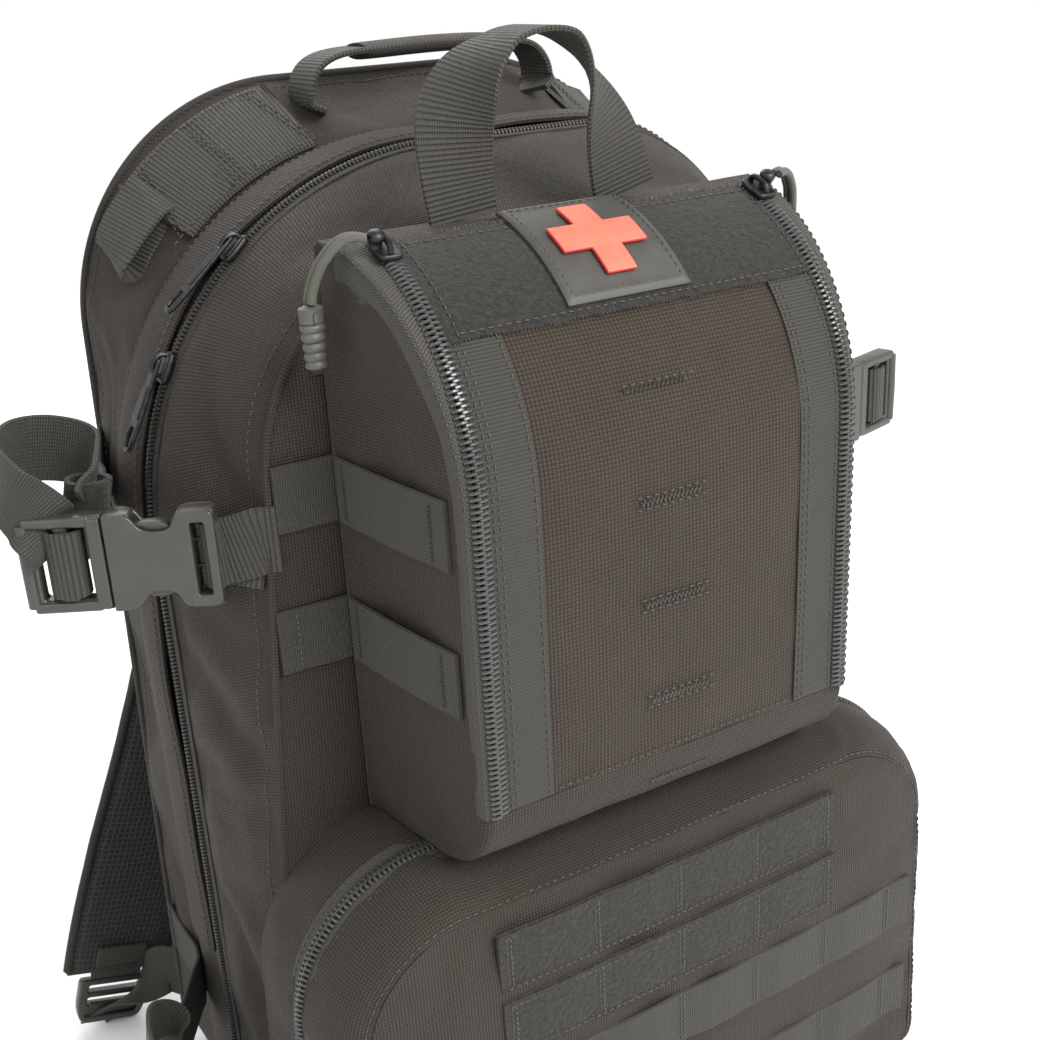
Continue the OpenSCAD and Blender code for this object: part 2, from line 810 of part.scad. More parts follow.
back_panel();
main_gusset();
main_bottom();
back_pads();
frame_sheet();
hydration_sleeve();
shoulder_strap_left();
shoulder_strap_right();
adjuster_webbing();
shoulder_bands();
storm_flap();
main_zipper_rear();
strap_runs_upper();
strap_runs_lower();
top_handle();
main_slider_upper();
main_slider_lower();
main_pull_upper();
main_pull_lower();
ladder_lock_left();
ladder_lock_right();
front_panel();
front_gusset();
front_bottom();
main_zipper_front();
upper_molle_webbing();
compression_straps_front();
buckle_sockets();
buckle_plug_upper_left();
buckle_plug_upper_right();
buckle_plug_lower_left();
buckle_plug_lower_right();
pouch_back();
pouch_wall();
pouch_side_straps();
pouch_zipper_wall();
pouch_organizer();
pouch_handle();
pouch_slider_left();
pouch_slider_right();
pouch_pull_cord_left();
pouch_pull_cord_right();
pouch_cord_end_left();
pouch_cord_end_right();
pouch_panel();
pouch_panel_tapes();
pouch_zipper_panel();
pouch_loop_field();
patch_base();
patch_cross();
lower_pocket_wall();
lower_zipper_wall();
lower_panel();
lower_zipper_panel();
lower_loop_strips();
lower_molle_webbing();
lower_slider();
lower_pull();
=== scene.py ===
"""Looks of the trauma backpack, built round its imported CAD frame.

Shapes are worked out in millimetres in the CAD's own frame, and become metres when a mesh is made.
A cloth coordinate pair (along, across), in millimetres, is kept on every piece as the UV map "Cloth".
"""
import math

import bpy
import numpy as np
from mathutils import Matrix, Vector, noise


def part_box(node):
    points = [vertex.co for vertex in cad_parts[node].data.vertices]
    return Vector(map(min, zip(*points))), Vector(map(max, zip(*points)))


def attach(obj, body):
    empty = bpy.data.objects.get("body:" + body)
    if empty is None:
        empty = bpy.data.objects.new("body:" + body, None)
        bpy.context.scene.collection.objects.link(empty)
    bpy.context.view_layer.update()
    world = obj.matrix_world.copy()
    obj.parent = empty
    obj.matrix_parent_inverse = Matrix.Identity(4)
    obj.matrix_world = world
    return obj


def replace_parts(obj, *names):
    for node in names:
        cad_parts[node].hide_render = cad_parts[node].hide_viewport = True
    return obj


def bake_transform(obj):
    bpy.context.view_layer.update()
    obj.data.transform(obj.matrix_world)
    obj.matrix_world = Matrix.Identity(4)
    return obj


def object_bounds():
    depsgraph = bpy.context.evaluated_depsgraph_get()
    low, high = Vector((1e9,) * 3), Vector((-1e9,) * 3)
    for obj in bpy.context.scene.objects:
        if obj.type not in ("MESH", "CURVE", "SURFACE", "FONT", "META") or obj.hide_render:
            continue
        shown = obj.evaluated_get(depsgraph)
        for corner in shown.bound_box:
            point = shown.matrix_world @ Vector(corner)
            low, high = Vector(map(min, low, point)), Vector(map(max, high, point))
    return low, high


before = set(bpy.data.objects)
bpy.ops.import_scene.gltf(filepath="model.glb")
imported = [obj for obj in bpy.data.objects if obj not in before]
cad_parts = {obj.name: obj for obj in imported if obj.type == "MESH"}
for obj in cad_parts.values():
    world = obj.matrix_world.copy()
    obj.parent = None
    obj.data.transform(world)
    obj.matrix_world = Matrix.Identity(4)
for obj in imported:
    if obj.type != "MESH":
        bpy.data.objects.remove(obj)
CAD_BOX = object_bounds()
MM = 0.001
SIDES = (-1, 1)
SIDE_NAME = {-1: "left", 1: "right"}
FRONT = "front_section"


def span(node):
    """Lowest and highest corner of a CAD node, in millimetres."""
    low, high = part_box(node)
    return np.array(low) / MM, np.array(high) / MM


# ---- Sizes read off the frame, and the radii and offsets that a box can't give ----

HALF_W = span("back_panel")[1][0]
TOP = span("main_zipper_rear")[1][2]
BACK_TOP = span("back_panel")[1][2]
BACK_HALF_HIGH = 133
SLOPE_Y = 22
BACK_Y = span("back_panel")[1][1]
FRONT_Y = span("front_panel")[0][1]
FRONT_HALF = span("front_panel")[1][0]
FRONT_TOP = span("front_panel")[1][2]
FRONT_HALF_HIGH = 117
ZIP_Y = span("main_zipper_rear")[0][1] - 0.2
ZIP_LOW_Z = span("main_zipper_rear")[0][2]
SHOULDER_R_LEFT = 130
SHOULDER_R_RIGHT = 85
BASE_R = 25
WEB_W = 25
WEB_T = 1.6
POUCH_Y = span("pouch_panel")[0][1]
POUCH_BACK_Y = span("pouch_back")[0][1]
POUCH_LOW_Z = span("pouch_back")[0][2]
POUCH_R = 80
POUCH_ARC_Y = POUCH_Y + POUCH_R
POUCH_ARC_Z = 343
POUCH_LOW_R = 28
HINGE_Z = span("pouch_panel")[0][2]
PANEL_HALF = span("pouch_panel")[1][0]
PANEL_END_A = 75
FIELD_LOW_A = 40
PATCH_A = 60.5
PATCH_X = -3
PATCH_SIZE = span("patch_base")[1][0] - span("patch_base")[0][0]
SLIDER_A = 69
POCKET_HALF = span("lower_pocket_wall")[1][0]
POCKET_LOW = span("lower_pocket_wall")[0][2]
POCKET_TOP = span("lower_pocket_wall")[1][2]
POCKET_Y = -150
POCKET_ZIP_Y = span("lower_pocket_wall")[0][1] - 0.2
UPPER_ROWS = (377, 323, 269)
POCKET_ROWS = (96, 48)
STRIP_ROWS = (156, 127)
STRIP_H = 27
UPPER_STRAP_Z = 318
LEFT_STRAP_EXTRA = 8
RIGHT_STRAP_DROP = 6
LOWER_STRAP_Z = 65


# ---- Camera, as far round and as high as the object is seen from ----

def camera():
    """A lens just under 50 mm, in front, to the left and above, with the slight roll of a hand-held view."""
    place = Vector((-272.0, -513.8, 504.5)) * MM
    azimuth, elevation, roll = (math.radians(a) for a in (-30.33, 21.76, -3.18))
    back = Vector((math.sin(azimuth) * math.cos(elevation), -math.cos(azimuth) * math.cos(elevation),
                   math.sin(elevation)))
    right = (-back).cross(Vector((0, 0, 1))).normalized()
    up = right.cross(-back)
    right, up = (math.cos(roll) * right + math.sin(roll) * up, math.cos(roll) * up - math.sin(roll) * right)
    lens = bpy.data.cameras.new("camera")
    lens.lens = 48.49
    lens.sensor_width = 36
    seen_from = bpy.data.objects.new("camera", lens)
    turn = Matrix((right, up, back)).transposed().to_4x4()
    seen_from.matrix_world = Matrix.Translation(place) @ turn
    bpy.context.scene.collection.objects.link(seen_from)
    bpy.context.scene.camera = seen_from


# ---- Curves ----

def arc(u, v, r, a0, a1, n):
    a = np.radians(np.linspace(a0, a1, n + 1))
    return np.stack([u + r * np.cos(a), v + r * np.sin(a)], 1)


def between(a, b, n):
    """The n - 1 points inside a straight run of n steps."""
    t = np.linspace(0, 1, n + 1)[1:-1, None]
    return np.asarray(a) + (np.asarray(b) - np.asarray(a)) * t


def outline(low, high, z0, z1, rl, rr, rb, e=0.0):
    """Closed (x, z) outline seen from the front, anticlockwise from the left base corner."""
    corners = [arc(rb - low, z0 + rb, rb + e, 180, 270, 8), arc(low - rb, z0 + rb, rb + e, 270, 360, 8),
               arc(high - rr, z1 - rr, rr + e, 0, 90, 24), arc(rl - high, z1 - rl, rl + e, 90, 180, 34)]
    runs = []
    for k, steps in enumerate((44, 54, 14, 46)):
        runs += [corners[k], between(corners[k][-1], corners[(k + 1) % 4][0], steps)]
    return np.concatenate(runs)


def main_outline(e=0.0):
    return outline(HALF_W, HALF_W, 0, TOP, SHOULDER_R_LEFT, SHOULDER_R_RIGHT, BASE_R, e)


def back_outline(e=0.0):
    return outline(HALF_W, BACK_HALF_HIGH, 0, BACK_TOP, 94, 75, BASE_R, e)


def slope_outline(y, e=0.0):
    """Outline of the wall that slopes up from the storm flap to the taller back panel."""
    t = np.clip((y - SLOPE_Y) / (BACK_Y - 2.5 - SLOPE_Y), 0, 1)
    return main_outline(e) * (1 - t) + back_outline(e) * t


def front_outline(e=0.0):
    return outline(FRONT_HALF, FRONT_HALF_HIGH, 0, FRONT_TOP, 75, 68, BASE_R, e)


def pocket_outline(e=0.0):
    return outline(POCKET_HALF, POCKET_HALF - 4, POCKET_LOW, POCKET_TOP, 55, 55, 18, e)


# Which outline points lie along the base, and which go up one side, over the top and down the other
BASE_RUN = np.r_[0:61]
SIDE_RUN = np.r_[60:len(main_outline()), 0:1]


def run_above(points, z):
    """The stretch of a closed outline above a height, from its right end over the top to its left."""
    order = np.r_[60:len(points)]
    return order[points[order, 1] >= z - 0.01]


def spline(points, n):
    """n + 1 points on a smooth curve through given points, evenly spaced along it."""
    p = np.asarray(points, float)
    p = np.concatenate([2 * p[:1] - p[1:2], p, 2 * p[-1:] - p[-2:-1]])
    t = np.linspace(0, 1, 13)[:-1, None]
    runs = []
    for a, b, c, d in zip(p[:-3], p[1:-2], p[2:-1], p[3:]):
        runs.append(0.5 * (2 * b + (c - a) * t + (2 * a - 5 * b + 4 * c - d) * t ** 2
                           + (3 * b - a - 3 * c + d) * t ** 3))
    return resample(np.concatenate(runs + [p[-2:-1]]), n)


def lengths(path):
    return np.r_[0, np.cumsum(np.linalg.norm(np.diff(path, axis=0), axis=1))]


def resample(path, n):
    at = lengths(path)
    want = np.linspace(0, at[-1], n + 1)
    return np.stack([np.interp(want, at, path[:, k]) for k in range(path.shape[1])], 1)


def unit(v):
    return v / np.maximum(np.linalg.norm(v, axis=-1, keepdims=True), 1e-9)


def at_y(points, y):
    """(x, z) points set at depth y."""
    return np.stack([points[:, 0], np.full(len(points), float(y)), points[:, 1]], 1)


# ---- Placing ----

def turn(axis, degrees):
    return np.array(Matrix.Rotation(math.radians(degrees), 4, axis))


def shift(x, y, z):
    return np.array(Matrix.Translation((x, y, z)))


def on_side(side):
    return np.diag([side, 1, 1, 1]).astype(float)


def placed(points, m):
    return np.asarray(points, float) @ m[:3, :3].T + m[:3, 3]


def upper_strap_frame(side):
    """X outwards along the strap, Y across it, Z away from the bag."""
    drop, extra = (0, LEFT_STRAP_EXTRA) if side < 0 else (RIGHT_STRAP_DROP, 0)
    return (on_side(side) @ shift(119.5, -80.5, UPPER_STRAP_Z - drop) @ turn("Z", 30 if side < 0 else 14)
            @ shift(extra, 0, 0) @ turn("X", 90))


def lower_strap_frame(side):
    return on_side(side) @ shift(150, -112, LOWER_STRAP_Z) @ turn("Z", 32) @ turn("X", 90)


def shoulder_frame(side):
    return shift(side * 52, 0, 402) @ turn("Y", -17 * side)


# ---- Forms: points, faces and cloth coordinates while a piece is put together ----

class Form:
    def __init__(self):
        self.points, self.faces, self.uvs, self.count = [], [], [], 0

    def add(self, points, faces, uvs, place=None):
        """uvs has one pair for each corner of each face."""
        points = np.asarray(points, float).reshape(-1, 3)
        if place is not None:
            points = placed(points, place)
            if np.linalg.det(place[:3, :3]) < 0:
                faces = [f[::-1] for f in faces]
                uvs = [c[::-1] for c in uvs]
        self.points.append(points)
        self.faces += [tuple(int(i) + self.count for i in f) for f in faces]
        self.uvs += [c for face in uvs for c in face]
        self.count += len(points)
        return self

    def make(self, name, body, paint, slot, smooth=True, sharp=40):
        mesh = bpy.data.meshes.new(name)
        points = np.concatenate(self.points) * MM
        mesh.from_pydata(points.tolist(), [], self.faces)
        layer = mesh.uv_layers.new(name="Cloth")
        layer.data.foreach_set("uv", np.asarray(self.uvs, np.float32).ravel())
        mesh.materials.append(paint)
        mesh.validate()
        obj = bpy.data.objects.new(name, mesh)
        bpy.context.scene.collection.objects.link(obj)
        if smooth:
            mesh.polygons.foreach_set("use_smooth", [True] * len(mesh.polygons))
            mesh.set_sharp_from_angle(angle=math.radians(sharp))
        if body:
            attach(obj, body)
        return obj


def normals(grid, closed=False):
    """Outward unit normals of a grid whose first axis runs along and whose second runs across."""
    if closed:
        g = np.concatenate([grid[-1:], grid, grid[:1]])
        along = g[2:] - g[:-2]
    else:
        along = np.gradient(grid, axis=0)
    n = unit(np.cross(along, np.gradient(grid, axis=1)))
    weak = np.linalg.norm(n, axis=2) < 0.5
    if weak.any():
        n[weak] = unit(n[~weak].mean(0))
    return n


def cloth_uv(grid, closed=False):
    g = np.concatenate([grid, grid[:1]]) if closed else grid
    u = np.linalg.norm(np.diff(g, axis=0), axis=2).mean(1)
    v = np.linalg.norm(np.diff(g, axis=1), axis=2).mean(0)
    u, v = np.r_[0, np.cumsum(u)], np.r_[0, np.cumsum(v)]
    return np.stack(np.meshgrid(u, v, indexing="ij"), 2)


def slab(form, outer, inner, closed=False, keep=None, uv=None):
    """A closed form between two grids of points. keep says which cells are there."""
    n, m = outer.shape[:2]
    rows = n if closed else n - 1
    uv = cloth_uv(outer, closed) if uv is None else uv
    keep = np.ones((rows, m - 1), bool) if keep is None else keep
    half = n * m
    faces, uvs = [], []

    def corner(i, j):
        return (i % n) * m + j

    def there(i, j):
        if closed:
            i %= rows
        return 0 <= i < rows and 0 <= j < m - 1 and keep[i, j]

    for i in range(rows):
        for j in range(m - 1):
            if not keep[i, j]:
                continue
            ring = [(i, j), (i + 1, j), (i + 1, j + 1), (i, j + 1)]
            ids = [corner(*c) for c in ring]
            texture = [tuple(uv[c]) for c in ring]
            faces += [ids, [k + half for k in ids[::-1]]]
            uvs += [texture, texture[::-1]]
            beyond = [(i, j - 1), (i + 1, j), (i, j + 1), (i - 1, j)]
            for k in range(4):
                if not there(*beyond[k]):
                    a, b = ids[k], ids[(k + 1) % 4]
                    faces.append([b, a, a + half, b + half])
                    uvs.append([texture[(k + 1) % 4], texture[k], texture[k], texture[(k + 1) % 4]])
    form.add(np.concatenate([outer.reshape(-1, 3), inner.reshape(-1, 3)]), faces, uvs)
    return form


def shell(form, grid, thick, lift=0.0, closed=False, keep=None, uv=None):
    """Cloth of that thickness under a grid of points, or lifted proud of it."""
    n = normals(grid, closed)
    return slab(form, grid + n * lift, grid + n * (lift - thick), closed, keep, uv)


def ribbon(form, path, side, width, thick=WEB_T, cup=0.0, start=0.0):
    """Flat webbing along a path, with rounded edges. side is the direction across it."""
    path = np.asarray(path, float)
    tangent = unit(np.gradient(path, axis=0))
    side = np.broadcast_to(np.asarray(side, float), path.shape)
    side = unit(side - tangent * (side * tangent).sum(1, keepdims=True))
    up = np.cross(tangent, side)
    s = np.array([-1, -0.965, -0.6, 0, 0.6, 0.965])
    ring_s = np.r_[s, 1, s[:0:-1]] * width / 2
    rise = np.array([0, 0.5, 0.5, 0.5, 0.5, 0.5])
    ring_h = np.r_[rise, 0, -rise[:0:-1]] * thick + cup * (1 - (2 * ring_s / width) ** 2)
    points = path[:, None] + side[:, None] * ring_s[:, None] + up[:, None] * ring_h[:, None]
    at = lengths(path) + start
    return swept(form, points, at, ring_s)


def swept(form, points, along, across):
    """A skin over rings of points, with both ends closed."""
    n, m = points.shape[:2]
    faces, uvs = [], []
    for i in range(n - 1):
        for k in range(m):
            q = (k + 1) % m
            faces.append([i * m + k, i * m + q, (i + 1) * m + q, (i + 1) * m + k])
            uvs.append([(along[i], across[k]), (along[i], across[q]), (along[i + 1], across[q]),
                        (along[i + 1], across[k])])
    first, last = list(range(m))[::-1], list(range((n - 1) * m, n * m))
    faces += [first, last]
    uvs += [[(along[0], across[k]) for k in first], [(along[-1], across[k % m]) for k in range(m)]]
    return form.add(points, faces, uvs)


def tube(form, path, radius, n=10, flat=1.0, up=(0, 0.2, 1)):
    """A round or oval tube along a path. radius may change along it."""
    path = np.asarray(path, float)
    radius = np.broadcast_to(np.asarray(radius, float), len(path))
    tangent = unit(np.gradient(path, axis=0))
    side = unit(np.cross(tangent, np.asarray(up, float)))
    for i in range(1, len(path)):
        side[i] = unit(side[i - 1] - tangent[i] * (side[i - 1] @ tangent[i]))
    rise = np.cross(tangent, side)
    a = 2 * np.pi * np.arange(n) / n
    points = path[:, None] + radius[:, None, None] * (side[:, None] * np.cos(a)[:, None]
                                                       + rise[:, None] * np.sin(a)[:, None] * flat)
    return swept(form, points, lengths(path), a * radius.mean())


def stitches(form, path, out, pitch=3.4, length=2.2, r=0.3):
    """A row of thread stitches along a path. out is the surface's normal, one for each point."""
    path = np.asarray(path, float)
    out = np.broadcast_to(np.asarray(out, float), path.shape)
    at = lengths(path)
    if at[-1] < pitch:
        return form
    want = np.arange(pitch / 2, at[-1], pitch)
    middle = np.stack([np.interp(want, at, path[:, k]) for k in range(3)], 1)
    along = unit(np.stack([np.interp(want + 0.4, at, path[:, k]) for k in range(3)], 1) - np.stack(
        [np.interp(want - 0.4, at, path[:, k]) for k in range(3)], 1))
    n = unit(np.stack([np.interp(want, at, out[:, k]) for k in range(3)], 1))
    side = unit(np.cross(along, n))
    a = 2 * np.pi * np.arange(5) / 5
    ends = [(-0.5, 0.35, -0.5), (-0.28, 1, 0.25), (0.28, 1, 0.25), (0.5, 0.35, -0.5)]
    points = np.concatenate([
        (middle + along * t * length + n * lift * r)[:, None] + k * r * (
            side[:, None] * np.cos(a)[:, None] + n[:, None] * np.sin(a)[:, None])
        for t, k, lift in ends], 1)
    faces = []
    for s in range(len(want)):
        base = s * 20
        for ring in range(3):
            for k in range(5):
                q = (k + 1) % 5
                low = base + ring * 5
                faces.append([low + k, low + 5 + k, low + 5 + q, low + q])
        faces.append([base + k for k in range(5)])
        faces.append([base + 19 - k for k in range(5)])
    return form.add(points, faces, [[(0, 0)] * len(f) for f in faces])


def plate(form, loops, depth, bevel, place, z=0.0):
    """A moulded plate: an outline with holes, made solid about height z with rounded edges."""
    curve = bpy.data.curves.new("plate", "CURVE")
    curve.dimensions = "2D"
    curve.fill_mode = "BOTH"
    curve.extrude = depth / 2 - bevel
    curve.bevel_depth = bevel
    curve.offset = -bevel
    curve.bevel_resolution = 2
    for loop in loops:
        line = curve.splines.new("POLY")
        line.points.add(len(loop) - 1)
        line.points.foreach_set("co", np.c_[loop, np.zeros(len(loop)), np.ones(len(loop))].ravel())
        line.use_cyclic_u = True
    obj = bpy.data.objects.new("plate", curve)
    mesh = obj.to_mesh()
    points = np.array([v.co for v in mesh.vertices]) + (0, 0, z)
    faces = [list(p.vertices) for p in mesh.polygons]
    uvs = [[tuple(points[i][:2]) for i in f] for f in faces]
    form.add(points, faces, uvs, place)
    obj.to_mesh_clear()
    bpy.data.objects.remove(obj)
    bpy.data.curves.remove(curve)
    return form


def rounded(points, radius, steps=4):
    """An outline with each corner rounded. radius is one number or one for each corner."""
    points = np.asarray(points, float)
    radius = np.broadcast_to(np.asarray(radius, float), len(points))
    out = []
    for i, p in enumerate(points):
        a, b = points[i - 1] - p, points[(i + 1) % len(points)] - p
        reach = min(radius[i], 0.49 * np.linalg.norm(a), 0.49 * np.linalg.norm(b))
        start, end = p + unit(a) * reach, p + unit(b) * reach
        for t in np.linspace(0, 1, steps + 1):
            out.append((1 - t) ** 2 * start + 2 * t * (1 - t) * p + t * t * end)
    return np.array(out)


def box_loop(x0, x1, y0, y1, r=1.0):
    return rounded([(x0, y0), (x1, y0), (x1, y1), (x0, y1)], r)


# ---- Cloth that settles ----

def wander(points, size, height, seed=0.0):
    """A smooth irregular height at each point, for the slack of sewn fabric."""
    flat = points.reshape(-1, 3)
    h = [noise.fractal(Vector((p / size + seed).tolist()), 0.6, 2.1, 3) for p in flat]
    return height * np.array(h).reshape(points.shape[:-1])


def drape(grid, pinned, grow=0.02, pressure=0.0, cap=5.0, closed=False, seed=1.0):
    """The grid after its cloth has settled. The cloth is cut a little larger than its frame, by grow, so it
    buckles into folds, and pinned points stay where they are sewn."""
    bent = grid + normals(grid, closed) * wander(grid, 38.0, 0.5, seed)[..., None]
    n, m = grid.shape[:2]
    rows = n if closed else n - 1
    faces = [[i * m + j, ((i + 1) % n) * m + j, ((i + 1) % n) * m + j + 1, i * m + j + 1]
             for i in range(rows) for j in range(m - 1)]
    mesh = bpy.data.meshes.new("cloth")
    mesh.from_pydata((bent.reshape(-1, 3) * MM).tolist(), [], faces)
    obj = bpy.data.objects.new("cloth", mesh)
    bpy.context.scene.collection.objects.link(obj)
    group = obj.vertex_groups.new(name="sewn")
    group.add([int(i) for i in np.flatnonzero(pinned.ravel())], 1.0, "REPLACE")
    modifier = obj.modifiers.new("cloth", "CLOTH")
    cloth = modifier.settings
    cloth.quality = 5
    cloth.mass = 0.2
    cloth.tension_stiffness = cloth.compression_stiffness = 12
    cloth.shear_stiffness = 6
    cloth.bending_stiffness = 0.4
    cloth.vertex_group_mass = "sewn"
    cloth.shrink_min = -grow
    cloth.effector_weights.gravity = 0
    cloth.use_pressure = pressure != 0
    cloth.uniform_pressure_force = pressure
    modifier.point_cache.frame_end = 24
    scene = bpy.context.scene
    for step in range(1, 21):
        scene.frame_set(step)
    graph = bpy.context.evaluated_depsgraph_get()
    settled = obj.evaluated_get(graph).to_mesh()
    out = np.array([v.co for v in settled.vertices]).reshape(grid.shape) / MM
    scene.frame_set(1)
    bpy.data.objects.remove(obj)
    bpy.data.meshes.remove(mesh)
    move = out - bent
    size = np.linalg.norm(move, axis=2, keepdims=True)
    move *= np.minimum(1, cap / np.maximum(size, 1e-6))
    return bent + relaxed(move, pinned)


def relaxed(move, pinned):
    """Movements evened out with their neighbours, away from the pinned points."""
    for _ in range(2):
        smooth = move.copy()
        smooth[1:-1, 1:-1] = 0.5 * move[1:-1, 1:-1] + 0.125 * (
            move[2:, 1:-1] + move[:-2, 1:-1] + move[1:-1, 2:] + move[1:-1, :-2])
        smooth[pinned] = move[pinned]
        move = smooth
    return move


def finer(grid, times=2):
    """The grid with smoothly placed points between its own."""
    for axis in (0, 1):
        for _ in range(int(math.log2(times))):
            g = np.moveaxis(grid, axis, 0)
            ends = np.concatenate([2 * g[:1] - g[1:2], g, 2 * g[-1:] - g[-2:-1]])
            middle = (9 * (ends[1:-2] + ends[2:-1]) - ends[:-3] - ends[3:]) / 16
            out = np.empty((2 * len(g) - 1,) + g.shape[1:])
            out[::2], out[1::2] = g, middle
            grid = np.moveaxis(out, 0, axis)
    return grid


def edges_of(grid, ends=True):
    """Which points of a grid lie on its border."""
    pinned = np.zeros(grid.shape[:2], bool)
    pinned[:, [0, -1]] = True
    if ends:
        pinned[[0, -1]] = True
    return pinned


def crease(grid, a, b, depth, width, closed=False):
    """Pushes a valley into the cloth along a line between two places, given as shares of the grid."""
    n, m = grid.shape[:2]
    i, j = np.meshgrid(np.linspace(0, 1, n), np.linspace(0, 1, m), indexing="ij")
    uv = cloth_uv(grid)
    size = uv[-1, -1]
    p = np.stack([i * size[0], j * size[1]], 2)
    a, b = np.array(a) * size, np.array(b) * size
    t = np.clip(((p - a) @ (b - a)) / ((b - a) @ (b - a)), 0, 1)
    away = np.linalg.norm(p - a - t[..., None] * (b - a), axis=2)
    taper = np.sin(np.pi * np.clip(t, 0.02, 0.98)) ** 0.5
    edge = np.clip(np.minimum(j, 1 - j) * 8, 0, 1)
    return grid - normals(grid, closed) * (depth * taper * edge * np.exp(-(away / width) ** 2))[..., None]


# ---- Materials ----

class Paint:
    """A material's nodes while they are put together. Places come from the piece's cloth coordinates."""

    def __init__(self, name):
        self.material = bpy.data.materials.new(name)
        self.material.use_nodes = True
        self.tree = self.material.node_tree
        self.shader = self.tree.nodes["Principled BSDF"]

    def node(self, kind, **values):
        new = self.tree.nodes.new(kind)
        for key, value in values.items():
            setattr(new, key, value)
        return new

    def link(self, a, b):
        self.tree.links.new(a, b)

    def math(self, operation, a, b=None, c=None, clamp=False):
        new = self.node("ShaderNodeMath", operation=operation, use_clamp=clamp)
        for socket, value in zip(new.inputs, (a, b, c)):
            if value is None:
                continue
            if isinstance(value, (int, float)):
                socket.default_value = value
            else:
                self.link(value, socket)
        return new.outputs[0]

    def cloth(self):
        """Along and across the cloth, in millimetres."""
        place = self.node("ShaderNodeUVMap", uv_map="Cloth")
        parts = self.node("ShaderNodeSeparateXYZ")
        self.link(place.outputs[0], parts.inputs[0])
        return place.outputs[0], parts.outputs[0], parts.outputs[1]

    def space(self):
        """Places on a CAD node, in millimetres."""
        place = self.node("ShaderNodeTexCoord")
        scaled = self.node("ShaderNodeVectorMath", operation="SCALE")
        self.link(place.outputs["Object"], scaled.inputs[0])
        scaled.inputs["Scale"].default_value = 1 / MM
        return scaled.outputs[0]

    def noise(self, place, scale, detail=3.0, rough=0.55):
        new = self.node("ShaderNodeTexNoise")
        self.link(place, new.inputs["Vector"])
        new.inputs["Scale"].default_value = scale
        new.inputs["Detail"].default_value = detail
        new.inputs["Roughness"].default_value = rough
        return new.outputs["Fac"]

    def speckle(self, u, v):
        """One random number for each thread crossing."""
        cell = self.node("ShaderNodeCombineXYZ")
        self.link(self.math("FLOOR", u), cell.inputs[0])
        self.link(self.math("FLOOR", v), cell.inputs[1])
        new = self.node("ShaderNodeTexWhiteNoise", noise_dimensions="2D")
        self.link(cell.outputs[0], new.inputs["Vector"])
        return new.outputs["Value"]

    def blend(self, share, a, b):
        new = self.node("ShaderNodeMix", data_type="RGBA")
        self.link(share, new.inputs["Factor"])
        for socket, value in ((new.inputs[6], a), (new.inputs[7], b)):
            if isinstance(value, tuple):
                socket.default_value = (*value, 1)
            else:
                self.link(value, socket)
        return new.outputs[2]

    def fit(self, value, low, high):
        new = self.node("ShaderNodeMapRange")
        self.link(value, new.inputs["Value"])
        new.inputs["From Min"].default_value = low
        new.inputs["From Max"].default_value = high
        return new.outputs["Result"]

    def bump(self, height, distance, strength=1.0, under=None):
        new = self.node("ShaderNodeBump")
        self.link(height, new.inputs["Height"])
        new.inputs["Distance"].default_value = distance * MM
        new.inputs["Strength"].default_value = strength
        if under:
            self.link(under, new.inputs["Normal"])
        return new.outputs["Normal"]

    def finish(self, colour, normal=None, rough=0.8, **values):
        if isinstance(colour, tuple):
            self.shader.inputs["Base Color"].default_value = (*colour, 1)
        else:
            self.link(colour, self.shader.inputs["Base Color"])
        if normal:
            self.link(normal, self.shader.inputs["Normal"])
        if isinstance(rough, float):
            self.shader.inputs["Roughness"].default_value = rough
        else:
            self.link(rough, self.shader.inputs["Roughness"])
        for key, value in values.items():
            self.shader.inputs[key.replace("_", " ")].default_value = value
        return self.material


def shade(colour, k):
    return tuple(c * k for c in colour)


def woven(name, colour, pitch, warm=0.16, depth=0.5, gap_shade=0.1, sheen=0.05):
    """Plain weave: warp and weft threads over and under each other, in slightly different blacks from a slow
    random tint, with painted glints on some thread crossings and painted shade in the gaps between threads.
    """
    p = Paint(name)
    place, u, v = p.cloth()
    along, across = p.math("MULTIPLY", u, math.pi / pitch), p.math("MULTIPLY", v, math.pi / pitch)
    warp, weft = p.math("SINE", along), p.math("SINE", across)
    over = p.math("MULTIPLY", warp, weft)
    warp_top = p.math("MULTIPLY", p.math("POWER", p.math("ABSOLUTE", warp), 0.6),
                      p.math("MULTIPLY_ADD", over, 0.5, 0.5))
    weft_top = p.math("MULTIPLY", p.math("POWER", p.math("ABSOLUTE", weft), 0.6),
                      p.math("MULTIPLY_ADD", over, -0.5, 0.5))
    height = p.math("MAXIMUM", warp_top, weft_top)
    threads = p.speckle(p.math("DIVIDE", u, pitch), p.math("DIVIDE", v, pitch))
    patchy = p.noise(place, 0.018, 4.0)
    tone = p.blend(p.fit(patchy, 0.3, 0.7), shade(colour, 1 - warm), shade(colour, 1 + warm))
    # Some thread crossings are lighter than others: painted glints on the threads.
    tone = p.blend(p.fit(threads, -0.4, 1.4), shade(colour, 0.72), tone)
    # Painted shade: the gaps between the threads are darkened by the weave's height.
    tone = p.blend(p.fit(height, 0.12, 0.75), shade(colour, gap_shade), tone)
    fuzz = p.noise(place, 2.6, 2.0)
    bumpy = p.bump(fuzz, 0.12, 0.35, p.bump(height, depth, 0.9))
    rough = p.math("MULTIPLY_ADD", threads, 0.16, 0.62)
    return p.finish(tone, bumpy, rough, Sheen_Weight=sheen, Sheen_Roughness=0.45, Specular_IOR_Level=0.22)


